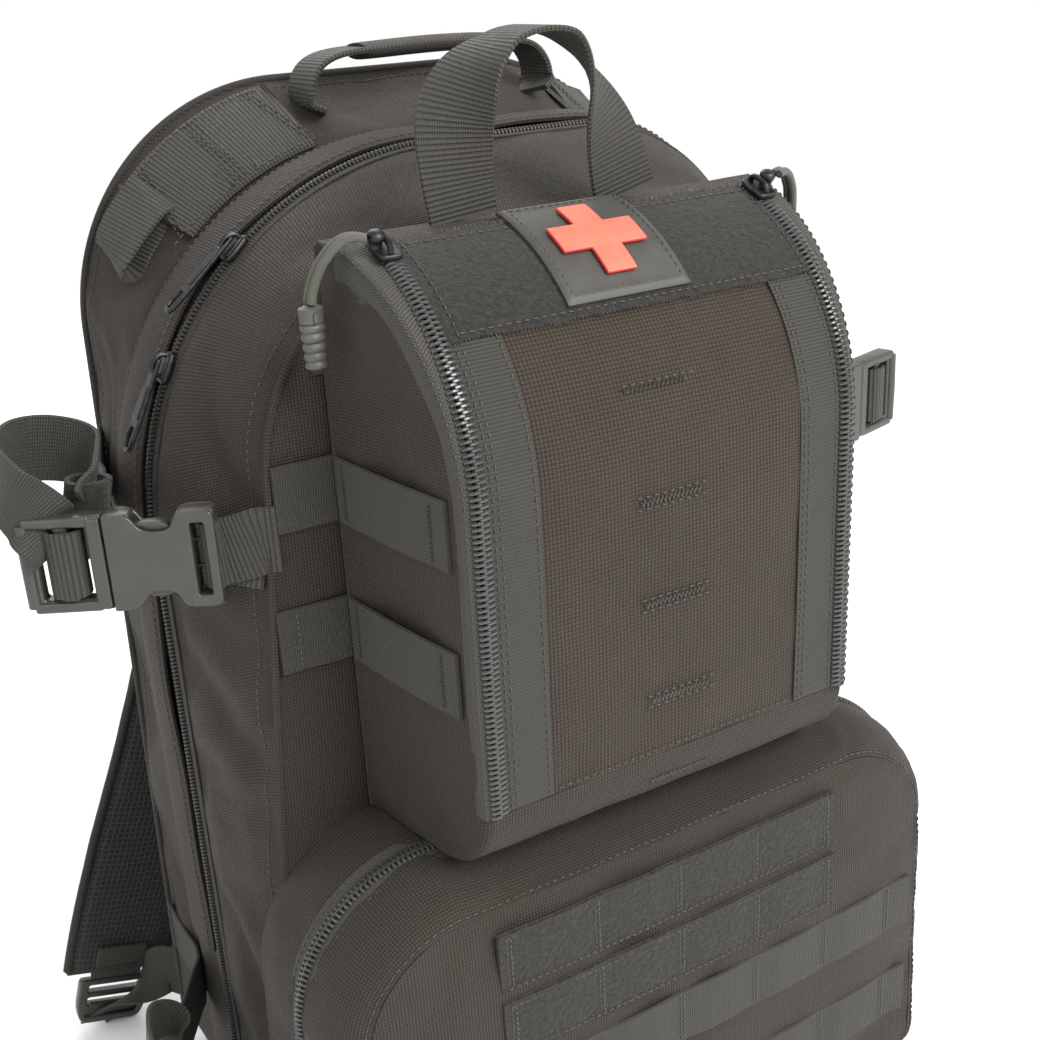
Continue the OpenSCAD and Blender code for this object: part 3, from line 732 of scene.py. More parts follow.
def webbing(name, colour, rib, strand, depth=0.4, sheen=0.05):
    """Narrow webbing: ribs across its length, with threads along them."""
    p = Paint(name)
    place, u, v = p.cloth()
    ribs = p.math("ABSOLUTE", p.math("SINE", p.math("MULTIPLY", u, math.pi / rib)))
    strands = p.math("ABSOLUTE", p.math("SINE", p.math("MULTIPLY", v, math.pi / strand)))
    height = p.math("MULTIPLY", p.math("POWER", ribs, 0.7), p.math("MULTIPLY_ADD", strands, 0.45, 0.55))
    threads = p.speckle(p.math("DIVIDE", u, rib), p.math("DIVIDE", v, strand))
    patchy = p.noise(place, 0.03, 3.0)
    tone = p.blend(p.fit(patchy, 0.3, 0.7), shade(colour, 0.88), shade(colour, 1.12))
    # Some rib and strand crossings are lighter than others: painted glints on the threads.
    tone = p.blend(p.fit(threads, -0.5, 1.5), shade(colour, 0.75), tone)
    # Painted shade: the valleys between the ribs are darkened by their height.
    tone = p.blend(p.fit(height, 0.1, 0.8), shade(colour, 0.36), tone)
    bumpy = p.bump(p.noise(place, 3.0, 2.0), 0.1, 0.3, p.bump(height, depth, 0.9))
    rough = p.math("MULTIPLY_ADD", threads, 0.15, 0.58)
    return p.finish(tone, bumpy, rough, Sheen_Weight=sheen, Sheen_Roughness=0.5, Specular_IOR_Level=0.3)


def fuzzy(name, colour):
    """Loop pile: a mat of tiny curls that catches the light unevenly."""
    p = Paint(name)
    place = p.cloth()[0]
    curls = p.noise(place, 1.5, 5.0, 0.75)
    tufts = p.noise(place, 0.45, 3.0, 0.6)
    mix = p.math("MULTIPLY_ADD", tufts, 0.45, p.math("MULTIPLY", curls, 0.55))
    # Painted light and shade: lighter where the curls and tufts stand high, darker where they sink.
    tone = p.blend(p.fit(mix, 0.36, 0.64), shade(colour, 0.42), shade(colour, 1.5))
    bumpy = p.bump(tufts, 1.1, 0.5, p.bump(curls, 0.7, 0.9))
    return p.finish(tone, bumpy, 0.95, Sheen_Weight=0.14, Sheen_Roughness=0.4, Specular_IOR_Level=0.12)


def spacer_mesh(name, colour):
    """Air mesh: rows of open cells in a knitted face."""
    p = Paint(name)
    place = p.cloth()[0]
    cells = p.node("ShaderNodeTexVoronoi", feature="DISTANCE_TO_EDGE", voronoi_dimensions="2D")
    p.link(place, cells.inputs["Vector"])
    cells.inputs["Scale"].default_value = 0.36
    cells.inputs["Randomness"].default_value = 0.18
    wall = p.fit(cells.outputs["Distance"], 0.04, 0.28)
    knit = p.noise(place, 1.8, 3.0)
    # Painted shade: the open cells are darkened towards their middles, and their walls kept light.
    tone = p.blend(wall, shade(colour, 1.25), shade(colour, 0.38))
    tone = p.blend(p.fit(knit, 0.2, 1.3), tone, shade(colour, 1.3))
    height = p.math("SUBTRACT", 1.0, wall)
    bumpy = p.bump(knit, 0.2, 0.4, p.bump(height, 0.7, 0.8))
    return p.finish(tone, bumpy, 0.85, Sheen_Weight=0.08, Sheen_Roughness=0.4, Specular_IOR_Level=0.2)


def herringbone(name, colour, pitch=1.3):
    """Zipper tape: slanted ribs that meet in points along its middle."""
    p = Paint(name)
    place, u, v = p.cloth()
    zigzag = p.math("PINGPONG", v, 4.0)
    slant = p.math("MULTIPLY", p.math("ADD", u, zigzag), math.pi / pitch)
    height = p.math("ABSOLUTE", p.math("SINE", slant))
    # Painted shade: the valleys between the slanted ribs are darkened.
    tone = p.blend(p.fit(height, 0.15, 0.85), shade(colour, 0.4), shade(colour, 1.1))
    tone = p.blend(p.fit(p.noise(place, 0.06, 3.0), 0.2, 1.2), tone, shade(colour, 0.7))
    bumpy = p.bump(p.noise(place, 3.0), 0.1, 0.3, p.bump(height, 0.3, 0.8))
    return p.finish(tone, bumpy, 0.7, Sheen_Weight=0.05, Specular_IOR_Level=0.35)


def moulded(name, colour, rough=0.42, grain=0.05, coat=0.0):
    """Moulded plastic or rubber: a fine spark-eroded grain, with the odd scuff."""
    p = Paint(name)
    place = p.space()
    fine = p.noise(place, 2.4, 4.0, 0.7)
    scuffs = p.noise(place, 0.12, 5.0, 0.65)
    tone = p.blend(p.fit(scuffs, 0.35, 0.75), shade(colour, 0.9), shade(colour, 1.25))
    roughness = p.math("MULTIPLY_ADD", scuffs, 0.2, rough - 0.1)
    return p.finish(tone, p.bump(fine, grain, 0.6), roughness, Coat_Weight=coat, Specular_IOR_Level=0.5)


def black_nickel(name, colour=(0.022, 0.022, 0.023)):
    """Plated zinc casting, worn a little brighter in places."""
    p = Paint(name)
    place = p.space()
    wear = p.noise(place, 0.35, 5.0, 0.7)
    tone = p.blend(p.fit(wear, 0.35, 0.7), colour, shade(colour, 2.2))
    roughness = p.math("MULTIPLY_ADD", wear, 0.25, 0.3)
    return p.finish(tone, p.bump(wear, 0.05, 0.5), roughness, Metallic=0.9)


def teeth_nylon(name, colour=(0.032, 0.033, 0.031)):
    p = Paint(name)
    place = p.space()
    wear = p.noise(place, 0.5, 3.0)
    tone = p.blend(wear, shade(colour, 0.75), shade(colour, 1.35))
    return p.finish(tone, p.bump(wear, 0.06, 0.4), 0.36, Coat_Weight=0.2, Specular_IOR_Level=0.55)


def braid(name, colour):
    """Braided sheath: two sets of strands that wind round the cord both ways."""
    p = Paint(name)
    _, u, v = p.cloth()
    one = p.math("SINE", p.math("MULTIPLY", p.math("ADD", u, v), math.pi / 0.75))
    two = p.math("SINE", p.math("MULTIPLY", p.math("SUBTRACT", u, v), math.pi / 0.75))
    height = p.math("MAXIMUM", p.math("ABSOLUTE", one), p.math("ABSOLUTE", two))
    # Painted shade: the hollows between the strands are darkened.
    tone = p.blend(p.fit(height, 0.55, 1.0), shade(colour, 0.35), shade(colour, 1.15))
    return p.finish(tone, p.bump(height, 0.25, 0.8), 0.6, Sheen_Weight=0.06)


def thread_paint(name, colour):
    p = Paint(name)
    place = p.space()
    twist = p.noise(place, 1.6, 2.0)
    tone = p.blend(twist, shade(colour, 0.6), shade(colour, 1.5))
    return p.finish(tone, None, 0.5, Sheen_Weight=0.05)


CLOTH = (0.042, 0.033, 0.025)
GREEN_GREY = (0.043, 0.040, 0.032)
M = {
    "shell": woven("shell weave", CLOTH, 1.25),
    "base": woven("base weave", shade(CLOTH, 0.8), 1.6, depth=0.5),
    "pouch": woven("pouch weave", (0.046, 0.034, 0.023), 1.5, depth=0.6, gap_shade=0.1),
    "lining": woven("lining weave", shade(CLOTH, 0.9), 0.7, depth=0.15),
    "webbing": webbing("flat webbing", GREEN_GREY, 0.9, 1.3),
    "ribbed": webbing("ribbed webbing", shade(GREEN_GREY, 1.05), 1.7, 0.8, depth=0.6),
    "tape": webbing("grosgrain tape", shade(GREEN_GREY, 0.92), 1.3, 0.5, depth=0.3),
    "binding": webbing("edge binding", shade(GREEN_GREY, 0.6), 1.0, 0.7, depth=0.25),
    "loop": fuzzy("loop pile", (0.026, 0.024, 0.021)),
    "mesh": spacer_mesh("air mesh", (0.030, 0.029, 0.028)),
    "zip tape": herringbone("zipper tape", (0.046, 0.043, 0.034)),
    "coil": teeth_nylon("coil teeth"),
    # Nearly black coil for the main zipper: a painted shadow line under the storm flap's edge.
    "shadow coil": moulded("shadow coil", (0.012, 0.012, 0.011), 0.5),
    "metal": black_nickel("black nickel"),
    "plastic": moulded("moulded plastic", (0.030, 0.029, 0.024), 0.34),
    "board": moulded("polyethylene board", (0.02, 0.02, 0.02), 0.5, 0.12),
    "cord": braid("cord sheath", (0.075, 0.074, 0.055)),
    "cord end": moulded("cord end rubber", (0.055, 0.054, 0.044), 0.5, 0.1),
    "patch": moulded("patch rubber", (0.036, 0.034, 0.028), 0.55, 0.12),
    "red": moulded("patch red", (0.66, 0.115, 0.07), 0.62, 0.06),
    # Darker red for the cross's side walls: painted shade.
    "red side shade": moulded("patch red side shade", (0.5, 0.02, 0.025), 0.6, 0.06),
    "thread": thread_paint("thread", (0.035, 0.031, 0.026)),
    "pale thread": thread_paint("pale thread", (0.06, 0.056, 0.048)),
}


# ---- Threads: one piece of stitching for each body, filled in as the sewn parts are made ----

SEWING = {}


def sew(body, path, out, paint="thread", **size):
    stitches(SEWING.setdefault((body, paint), Form()), path, out, **size)


def sew_on(body, grid, rows, lift=0.1, closed=False, **size):
    """Stitches along rows of a grid: each row is an index across it."""
    n = normals(grid, closed)
    for j in rows:
        sew(body, grid[:, j] + n[:, j] * lift, n[:, j], **size)


def bartack(body, middle, along, out, length=25.0, width=1.6, paint="pale thread"):
    """A dense zigzag of thread that holds webbing down."""
    along, out = unit(np.asarray(along, float)), unit(np.asarray(out, float))
    across = np.cross(out, along)
    steps = np.arange(-length / 2, length / 2 + 0.01, 0.9)
    swing = np.where(np.arange(len(steps)) % 2 == 0, width / 2, -width / 2)
    path = np.asarray(middle, float) + steps[:, None] * along + swing[:, None] * across + 0.15 * out
    tube(SEWING.setdefault((body, paint), Form()), path, 0.32, n=5, up=tuple(out))


def finish_sewing():
    for (body, paint), form in SEWING.items():
        form.make(f"stitching_{body}_{paint.split()[0]}", body, M[paint], "webbing", sharp=80)


# ---- Zipper chain ----

def chain(form, path, inward, out, pitch=2.0, reach=3.0, offset=0.0):
    """Teeth of one half of a coil zipper. Each is a bent bar from its tape to just past the middle."""
    at = lengths(path)
    want = np.arange(pitch * (0.5 + offset), at[-1], pitch)

    def along(field):
        field = np.broadcast_to(np.asarray(field, float), path.shape)
        return np.stack([np.interp(want, at, field[:, k]) for k in range(3)], 1)

    middle, toward, up = along(path), unit(along(inward)), unit(along(out))
    forward = unit(np.cross(toward, up))
    bend = [(-reach, 0.0, 0.25), (-reach * 0.72, 0.75, 0.1), (-0.9, 0.95, 0.0), (0.35, 0.7, -0.05),
            (0.75, 0.15, -0.1)]
    thick = np.array([0.45, 0.62, 0.66, 0.7, 0.42])
    a = 2 * np.pi * np.arange(6) / 6
    centre = np.stack([middle + toward * s + up * h + forward * f for s, h, f in bend], 1)
    ring = (forward[:, None] * np.cos(a)[:, None] + up[:, None] * np.sin(a)[:, None])
    points = centre[:, :, None] + thick[:, None, None] * ring[:, None]
    faces = []
    for s in range(len(want)):
        for k in range(4):
            for q in range(6):
                r = (q + 1) % 6
                low = s * 30 + k * 6
                faces.append([low + q, low + r, low + 6 + r, low + 6 + q])
        faces.append([s * 30 + q for q in range(6)][::-1])
        faces.append([s * 30 + 24 + q for q in range(6)])
    return form.add(points, faces, [[(0, 0)] * len(f) for f in faces])


# ---- Cords ----

CORD_D = 3
CORD_STEP = 3.2
CORD_ROUTE = [
    [-85.2, -106.6, 425.5], [-87.1, -105.9, 425.9], [-89, -105, 426], [-90.8, -104.1, 425.6],
    [-92.5, -103.2, 424.7], [-94.1, -102.5, 423.4], [-95.4, -101.7, 422], [-96.5, -101, 420.4],
    [-97.6, -100.3, 418.8], [-98.5, -99.5, 417.1], [-99.2, -98.8, 415.3], [-99.9, -98.1, 413.4],
    [-100.4, -97.5, 411.5], [-100.9, -96.9, 409.5], [-101.3, -96.4, 407.5], [-101.5, -96, 405.5]]


def cord_end(side):
    """Tapered rubber grip with five ribs, clamped over both strands."""
    low, high = span(f"pouch_cord_end_{SIDE_NAME[side]}")
    x, y = (low[0] + high[0]) / 2, (low[1] + high[1]) / 2
    form = Form()
    height = high[2] - low[2]
    steps = np.linspace(0, 1, 61)
    rib = np.where(steps < 0.72, np.abs(np.sin(steps * np.pi * 5 / 0.72)) ** 0.5, 0.75)
    taper = 0.78 + 0.22 * steps
    radius = (3.3 + 1.4 * rib) * taper * np.minimum(1, np.minimum(steps, 1 - steps) * 14 + 0.35)
    path = np.stack([np.full(61, x), np.full(61, y), low[2] + steps * height], 1)
    tube(form, path, radius, n=20, flat=0.82, up=(0, 1, 0))
    ring = arc(0, 0, 1.5, 0, 360, 14)
    eye = np.stack([x + 0.2 * ring[:, 0], np.full(15, y - 3.9), high[2] - 4 + ring[:, 1]], 1)
    tube(form, eye, 0.45, n=6)
    piece = form.make(f"cord_grip_{SIDE_NAME[side]}", f"pull_cord_{SIDE_NAME[side]}", M["cord end"],
                      "cord_end_rubber")
    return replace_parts(piece, f"pouch_cord_end_{SIDE_NAME[side]}")


def pull_cord(side):
    """Two strands of braided cord from the slider's post to the grip."""
    name = SIDE_NAME[side]
    grip = cord_end(side)
    for strand, dy in (("front", -CORD_STEP / 2), ("rear", CORD_STEP / 2)):
        route = (np.array(CORD_ROUTE) + (0, dy, 0)) * (-side, 1, 1)
        form = tube(Form(), spline(route, 48), CORD_D / 2, n=14, up=(0, 1, 0))
        piece = form.make(f"pull_cord_{name}_{strand}", f"pull_cord_{name}", M["cord"], "pull_cord")
        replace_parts(piece, f"pouch_pull_cord_{name}")


# ---- Main compartment ----

def lofted(run, points_a, ya, points_b, yb, n):
    """Straight cloth from a rear outline to a front one."""
    t = np.linspace(0, 1, n + 1)[None, :, None]
    return at_y(points_a[run], ya)[:, None] * (1 - t) + at_y(points_b[run], yb)[:, None] * t


def face(points, y, rings, rise=0.0, facing=-1):
    """A flat or crowned closed face inside an outline, and its cloth coordinates."""
    centre = (points.min(0) + points.max(0)) / 2
    half = (points.max(0) - points.min(0)) / 2
    points = points if facing < 0 else points[::-1]
    f = np.append(np.linspace(1, 0.06, rings), 0.004)
    flat = centre + (points - centre)[:, None] * f[None, :, None]
    away = np.abs((flat - centre) / half)
    crown = rise * np.clip(1 - away[..., 0] ** 2.5, 0, 1) * np.clip(1 - away[..., 1] ** 2.5, 0, 1)
    grid = np.stack([flat[..., 0], y + facing * crown, flat[..., 1]], 2)
    uv = np.concatenate([flat, flat[:1]])
    return grid, uv


def gusset(name, body, node, grid, sewn, seed, grow=0.024, cap=4.5):
    """The side wall of one half of the clamshell, with the folds of slack cloth."""
    pinned = edges_of(grid)
    for column in sewn:
        pinned[:, column] = True
    high = np.clip((grid[..., 2:] - 330) / 60, 0, 1)
    settled = finer(drape(grid, pinned, grow, 1.0, cap * (1 - 0.8 * high), seed=seed))
    piece = shell(Form(), settled, 1.8).make(name, body, M["shell"], "shell_fabric")
    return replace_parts(piece, *node), settled


def main_compartment():
    slope = lofted(SIDE_RUN, back_outline(), BACK_Y, main_outline(), SLOPE_Y, 10)
    level = lofted(SIDE_RUN, main_outline(), SLOPE_Y, main_outline(), ZIP_Y + 0.4, 5)
    rear = np.concatenate([slope, level[:, 1:]], 1)
    rear = crease(rear, (0.70, 0.2), (0.80, 0.6), 3.0, 9)
    rear = crease(rear, (0.80, 0.55), (0.88, 0.15), 3.5, 10)
    rear = crease(rear, (0.90, 0.15), (0.95, 0.6), 2.5, 9)
    _, settled = gusset("rear_gusset", "root", ["main_gusset"], rear, [10], 3.0)
    sew_on("root", settled, [3])
    front_points = front_outline()
    to_seam = lofted(SIDE_RUN, main_outline(), ZIP_Y - 6, front_points, FRONT_Y + 1.2, 11)
    band = lofted(SIDE_RUN, main_outline(), ZIP_Y - 0.4, main_outline(), ZIP_Y - 6, 1)
    front = np.concatenate([band[:, :1], to_seam], 1)
    front = crease(front, (0.66, 0.3), (0.74, 0.85), 3.0, 8)
    front = crease(front, (0.78, 0.2), (0.83, 0.9), 3.2, 9)
    front = crease(front, (0.88, 0.25), (0.93, 0.8), 2.8, 8)
    _, settled = gusset("front_gusset_cloth", FRONT, ["front_gusset"], front, [1], 7.0, 0.034, 5.5)
    sew_on(FRONT, settled, [-4])
    bottoms()
    panels()
    seam_bindings()


def bottoms():
    grid = lofted(BASE_RUN, main_outline(), BACK_Y, main_outline(), ZIP_Y + 0.4, 12)
    grid = drape(grid, edges_of(grid), 0.01, 0.0, 1.5, seed=5.0)
    piece = shell(Form(), grid, 2.4).make("rear_base", "root", M["base"], "shell_fabric")
    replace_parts(piece, "main_bottom")
    grid = lofted(BASE_RUN, main_outline(), ZIP_Y - 0.4, front_outline(), FRONT_Y + 0.6, 10)
    grid = drape(grid, edges_of(grid), 0.01, 0.0, 1.5, seed=6.0)
    piece = shell(Form(), grid, 2.4).make("front_base", FRONT, M["base"], "shell_fabric")
    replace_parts(piece, "front_bottom")


def panels():
    grid, uv = face(front_outline(), FRONT_Y, 24)
    grid[..., 1] += np.clip(wander(grid, 55.0, 0.9, 2.0), -0.4, 0.8)
    form = shell(Form(), grid, 2.2, closed=True, uv=uv)
    piece = form.make("front_cloth", FRONT, M["shell"], "shell_fabric")
    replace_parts(piece, "front_panel")
    grid, uv = face(back_outline(), BACK_Y, 24, facing=1)
    form = shell(Form(), grid, 2.2, closed=True, uv=uv)
    piece = form.make("back_cloth", "root", M["shell"], "shell_fabric")
    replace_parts(piece, "back_panel")
    low, high = span("hydration_sleeve")
    x, z = np.meshgrid(np.linspace(low[0], high[0], 30), np.linspace(low[2], high[2], 40), indexing="ij")
    grid = np.stack([x, np.full_like(x, high[1] - 0.2), z], 2)
    grid[..., 1] -= 0.8 * np.sin(np.pi * (z - low[2]) / (high[2] - low[2])) ** 2
    piece = shell(Form(), grid, 0.8).make("sleeve", "root", M["lining"], "shell_fabric")
    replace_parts(piece, "hydration_sleeve")
    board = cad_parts["frame_sheet"]
    board.data.materials.clear()
    board.data.materials.append(M["board"])


def seam_bindings():
    """The bound seams at the edges of the back and front panels."""
    for name, body, points, y in (("back_binding", "root", back_outline(0.4), BACK_Y - 0.4),
                                  ("front_seam", FRONT, front_outline(0.2), FRONT_Y + 0.4)):
        path = at_y(np.concatenate([points, points[:3]]), y)
        radius = 1.7 if body == "root" else 1.4
        piece = tube(Form(), path, radius, n=10, up=(0, 1, 0))
        piece.make(name, body, M["binding" if body == "root" else "shell"], "webbing")


def main_zipper():
    """Tape and interlocking teeth, half on each side of the clamshell."""
    inner = main_outline()
    run = run_above(inner, ZIP_LOW_Z)
    middle = main_outline(0.7)[run]
    path = resample(at_y(middle, ZIP_Y), 900)
    out = unit(path - np.roll(path, 1, 0))
    out = np.cross(out, (0, 1, 0))
    out[0] = out[1]
    for name, body, facing, node in (("rear", "root", 1, "main_zipper_rear"),
                                     ("front", FRONT, -1, "main_zipper_front")):
        start, end = (ZIP_Y + 7, ZIP_Y + 1.5) if facing > 0 else (ZIP_Y - 1.5, ZIP_Y - 7)
        tape = lofted(run, main_outline(0.5), start, main_outline(0.5), end, 4)
        piece = shell(Form(), tape, 0.6).make(f"main_zipper_tape_{name}", body, M["shell"], "zipper_coil")
        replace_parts(piece, node)
        # The main teeth are fine and nearly black so that they read as the storm flap's shadow line: painted
        # shadow.
        teeth = chain(Form(), path, (0, -facing, 0), -out, 1.7, 2.0, 0.25 * facing)
        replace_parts(teeth.make(f"main_teeth_{name}", body, M["shadow coil"], "zipper_coil"), node)


def storm_flap():
    """A folded strip of cloth over the main zipper, sewn down along its rear edge."""
    run = run_above(main_outline(), 110)
    profile = [(22, 0.3), (21, 2.2), (19, 3.0), (15, 3.9), (9, 4.9), (3, 5.3), (-3, 5.0), (-8, 4.3),
               (-11, 3.2)]
    share = np.linspace(0, 1, len(run))
    columns = []
    for k, (y, e) in enumerate(profile):
        loose = k / (len(profile) - 1)
        wave = 1.1 * np.sin(share * 31) + 0.8 * np.sin(share * 67 + 1)
        points = np.stack([main_outline(e)[run, 0], np.full(len(run), float(y)), main_outline(e)[run, 1]], 1)
        away = points - at_y(main_outline(e - 1)[run], y)
        columns.append(points + away * (0.45 * wave * loose ** 2)[:, None] + (0, 1, 0) * (
            0.5 * wave * loose)[:, None])
    grid = finer(np.stack(columns, 1))
    piece = shell(Form(), grid, 1.4).make("storm_flap_cloth", "root", M["shell"], "shell_fabric")
    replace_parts(piece, "storm_flap")
    sew_on("root", grid, [4, 14])


def shoulder_bands():
    """Ribbed bands up both sloping shoulders, boxed down with stitches, and a loop below the left one."""
    for name, x0, x1 in (("left", -103, -34), ("right", 78, 136)):
        lines = [slope_outline(y, 2.4) for y in (24, 62)]
        crown = main_outline()
        run = [i for i in run_above(crown, 330) if x0 <= crown[i, 0] <= x1][::-1]
        low, high = (resample(at_y(line[run], y), 34) for line, y in zip(lines, (24, 62)))
        path, across = (low + high) / 2, high - low
        width = float(np.linalg.norm(across, axis=1).mean())
        form = ribbon(Form(), path, across, width, 2.2, cup=0.8)
        tangent = unit(np.gradient(path, axis=0))
        out = unit(np.cross(tangent, across))
        for i, inward in ((0, 1), (-1, -1)):
            fold = path[i] + np.array([[inward * 26, -1.7], [inward * 8, -1.8], [inward * 1.0, -1.4],
                                       [-inward * 1.2, 0.0]]) @ np.stack([tangent[i], out[i]])
            ribbon(form, spline(fold, 10), across[i], width - 1, 1.8)
        piece = form.make(f"shoulder_band_{name}", "root", M["ribbed"], "webbing")
        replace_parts(piece, "shoulder_bands")
        across = unit(across)
        for edge in (-width / 2 + 2.4, width / 2 - 2.4):
            sew("root", path + out * 1.6 + across * edge, out)
        for i in (2, 16, 17, 31):
            row = path[i] + out[i] * 2.1 + np.linspace(-1, 1, 12)[:, None] * across[i] * (width / 2 - 2.4)
            sew("root", row, out[i])
            sew("root", row + tangent[i] * 2.2, out[i])
    band_loop()


def band_loop():
    """Short loop of webbing below the outer end of the left band."""
    crown = main_outline()
    run = [i for i in run_above(crown, 330) if -124 <= crown[i, 0] <= -100]
    low, high = (at_y(slope_outline(y, 0.5)[run], y) for y in (35, 60))
    path, across = (low + high) / 2, high - low
    tangent = unit(path[-1] - path[0])
    out = unit(np.cross(across[0], tangent))
    out *= np.sign(out[2])
    size = np.linalg.norm(path[-1] - path[0])
    loop = np.array([(0, 3.2), (-3, 1.6), (0, 0.9), (size * 0.5, 0.9), (size * 0.9, 1.0), (size * 1.05, 4.0),
                     (size * 0.92, 7.6), (size * 0.5, 8.4), (0, 6.4), (-6, 3.4)])
    route = path[0] + loop[:, :1] * tangent + loop[:, 1:] * out
    piece = ribbon(Form(), spline(route, 48), across[0], WEB_W, 1.6).make("band_loop", "root", M["ribbed"],
                                                                        "webbing")
    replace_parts(piece, "shoulder_bands")


def top_handle():
    """Webbing grab handle with a stitched grip, and folded feet."""
    low, high = span("top_handle")
    y = (low[1] + high[1]) / 2
    top = high[2] - 4
    foot = low[2]
    route = [(-30, y - 3, foot - 1), (-37, y, foot + 3), (-38, y, foot + 10), (-33, y, top - 4),
             (-22, y, top), (0, y, top + 1.0), (26, y, top + 1.4), (50, y, top + 0.6),
             (66, y, top - 2), (73.5, y, top - 9), (75, y, foot + 4), (68, y - 3, foot - 1)]
    path = spline(route, 72)
    form = ribbon(Form(), path, (0, 1, 0), 24, 2.2)
    piece = form.make("top_handle_webbing", "top_handle", M["ribbed"], "webbing")
    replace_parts(piece, "top_handle")
    grip = path[22:52]
    swell = np.sin(np.pi * np.linspace(0, 1, len(grip))) ** 0.35
    form = tube(Form(), grip - (0, 0, 0.8), 11.8 + 0.8 * swell, n=24, flat=0.28, up=(0, 0, 1))
    pad = form.make("top_handle_grip", "top_handle", M["shell"], "shell_fabric")
    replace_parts(pad, "top_handle")
    for dy, dz in ((-9.0, 1.25), (9.0, 1.25)):
        sew("top_handle", grip + (0, dy, dz), (0, 0, 1))


# ---- Metal pulls and sliders ----

def on_main_zip(a):
    centre = SHOULDER_R_LEFT - HALF_W
    return shift(centre, 0, TOP - SHOULDER_R_LEFT) @ turn("Y", a) @ shift(-SHOULDER_R_LEFT, 0, 0)


def on_pocket_zip():
    return shift(POCKET_HALF + 1.2, POCKET_ZIP_Y + 16, 56) @ np.diag([-1.0, 1, 1, 1])


# Turns a flat shape's X into the frame's Y, its Y into the frame's Z, and its Z inwards
ON_SIDE_FACE = np.array([[0, 0, 1, 0], [1, 0, 0, 0], [0, 1, 0, 0], [0, 0, 0, 1.0]])


def slider_form(place):
    """Cast slider: a domed plate with a waist, side flanges and the bridge that holds the pull."""
    form = Form()
    wing = rounded([(-4, -6), (4, -6), (4.2, -1), (2.6, 6), (-2.6, 6), (-4.2, -1)], 1.8)
    flat = place @ shift(-2.3, -16, 0) @ ON_SIDE_FACE
    plate(form, [wing], 2.2, 0.7, flat)
    plate(form, [wing * 0.8], 1.0, 0.4, flat, z=-1.3)
    bridge = spline([(-2.8, -16, 4.6), (-6.2, -16, 3.6), (-7.4, -16, 0.8), (-7.3, -16, -1.6),
                     (-5.6, -16, -3.4), (-2.8, -16, -4.2)], 14)
    tube(form, placed(bridge, place), 0.95, n=8, up=placed([(0, 1, 0)], place)[0] - place[:3, 3])
    return form


def pull_form(place):
    """Long cast pull: an eye at the bridge, a tapered tab with a step across it, and an oval ring."""
    form = Form()
    outer = rounded([(-2.2, 2.4), (2.2, 2.4), (2.9, -8), (4.0, -24), (4.0, -31), (2.6, -34.4), (-2.6, -34.4),
                     (-4.0, -31), (-4.0, -24), (-2.9, -8)], [1.5, 1.5, 2, 3, 3, 3, 3, 3, 3, 2], 5)
    eye = rounded([(-1.2, 1.2), (1.2, 1.2), (1.4, -3.4), (-1.4, -3.4)], 1.0)
    ring = rounded([(-2.5, -24.6), (2.5, -24.6), (2.6, -30.4), (1.6, -32.6), (-1.6, -32.6),
                    (-2.6, -30.4)], 1.8)
    flat = place @ shift(-6.2, -16, 0) @ ON_SIDE_FACE
    plate(form, [outer, eye, ring], 1.7, 0.6, flat)
    step = rounded([(-2.3, -9), (2.3, -9), (3.0, -21.5), (-3.0, -21.5)], 1.0)
    plate(form, [step], 0.9, 0.35, flat, z=-0.95)
    return form


def main_pulls():
    for name, a in (("upper", 50), ("lower", 28)):
        place = on_main_zip(a)
        piece = slider_form(place).make(f"slider_{name}", f"main_slider_{name}", M["metal"], "zipper_metal")
        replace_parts(piece, f"main_slider_{name}")
        piece = pull_form(place).make(f"pull_{name}", f"main_pull_{name}", M["metal"], "zipper_metal")
        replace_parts(piece, f"main_pull_{name}")
    piece = slider_form(on_pocket_zip()).make("slider_pocket", "lower_slider", M["metal"], "zipper_metal")
    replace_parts(piece, "lower_slider")
    piece = pull_form(on_pocket_zip()).make("pull_pocket", "lower_pull", M["metal"], "zipper_metal")
    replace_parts(piece, "lower_pull")


# ---- Back: pads and shoulder straps ----

def back_pads():
    """Air mesh pads with sewn channels, puffed by their foam."""
    pads = (("lower", 60, 205, 105, 105, 20), ("upper", 222, 378, 105, 95, 30))
    for name, low_z, high_z, low, high, r in pads:
        x, z = np.meshgrid(np.linspace(-1, 1, 37), np.linspace(low_z, high_z, 27), indexing="ij")
        half = low + (high - low) * (z - low_z) / (high_z - low_z)
        near = np.minimum(z - low_z, high_z - z)
        inset = r - np.sqrt(np.clip(r ** 2 - np.clip(r - near, 0, r) ** 2, 0, None))
        flat = np.stack([-x * (half - inset), np.full_like(x, BACK_Y + 3.0), z], 2)
        pinned = edges_of(flat)
        pinned[[12, 24]] = True
        foam = np.clip(np.minimum(np.abs(x * 3 % 2 - 1), 1), 0, 1)
        swell = 7.5 * np.clip(near / 12, 0, 1) ** 0.5 * (1 - foam ** 6) ** 0.5 * (1 - np.abs(x) ** 8)
        outer = drape(flat + np.stack([0 * x, swell, 0 * x], 2), pinned, 0.01, 3.0, 1.6, seed=9.0)
        outer = finer(outer)
        inner = outer.copy()
        inner[..., 1] = BACK_Y + 0.3
        form = slab(Form(), outer, inner)
        piece = form.make(f"back_pad_{name}", "root", M["mesh"], "padded_mesh", sharp=70)
        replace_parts(piece, "back_pads")
        border = np.concatenate([outer[:, 0], outer[-1], outer[::-1, -1], outer[0, ::-1]]) + (0, -0.8, 0)
        binding = tube(Form(), border, 1.9, n=8, up=(0, 1, 0))
        binding.make(f"pad_binding_{name}", "root", M["binding"], "webbing")
        for i in (24, 48):
            sew("root", outer[i] + (0, 0.2, 0), (0, 1, 0))


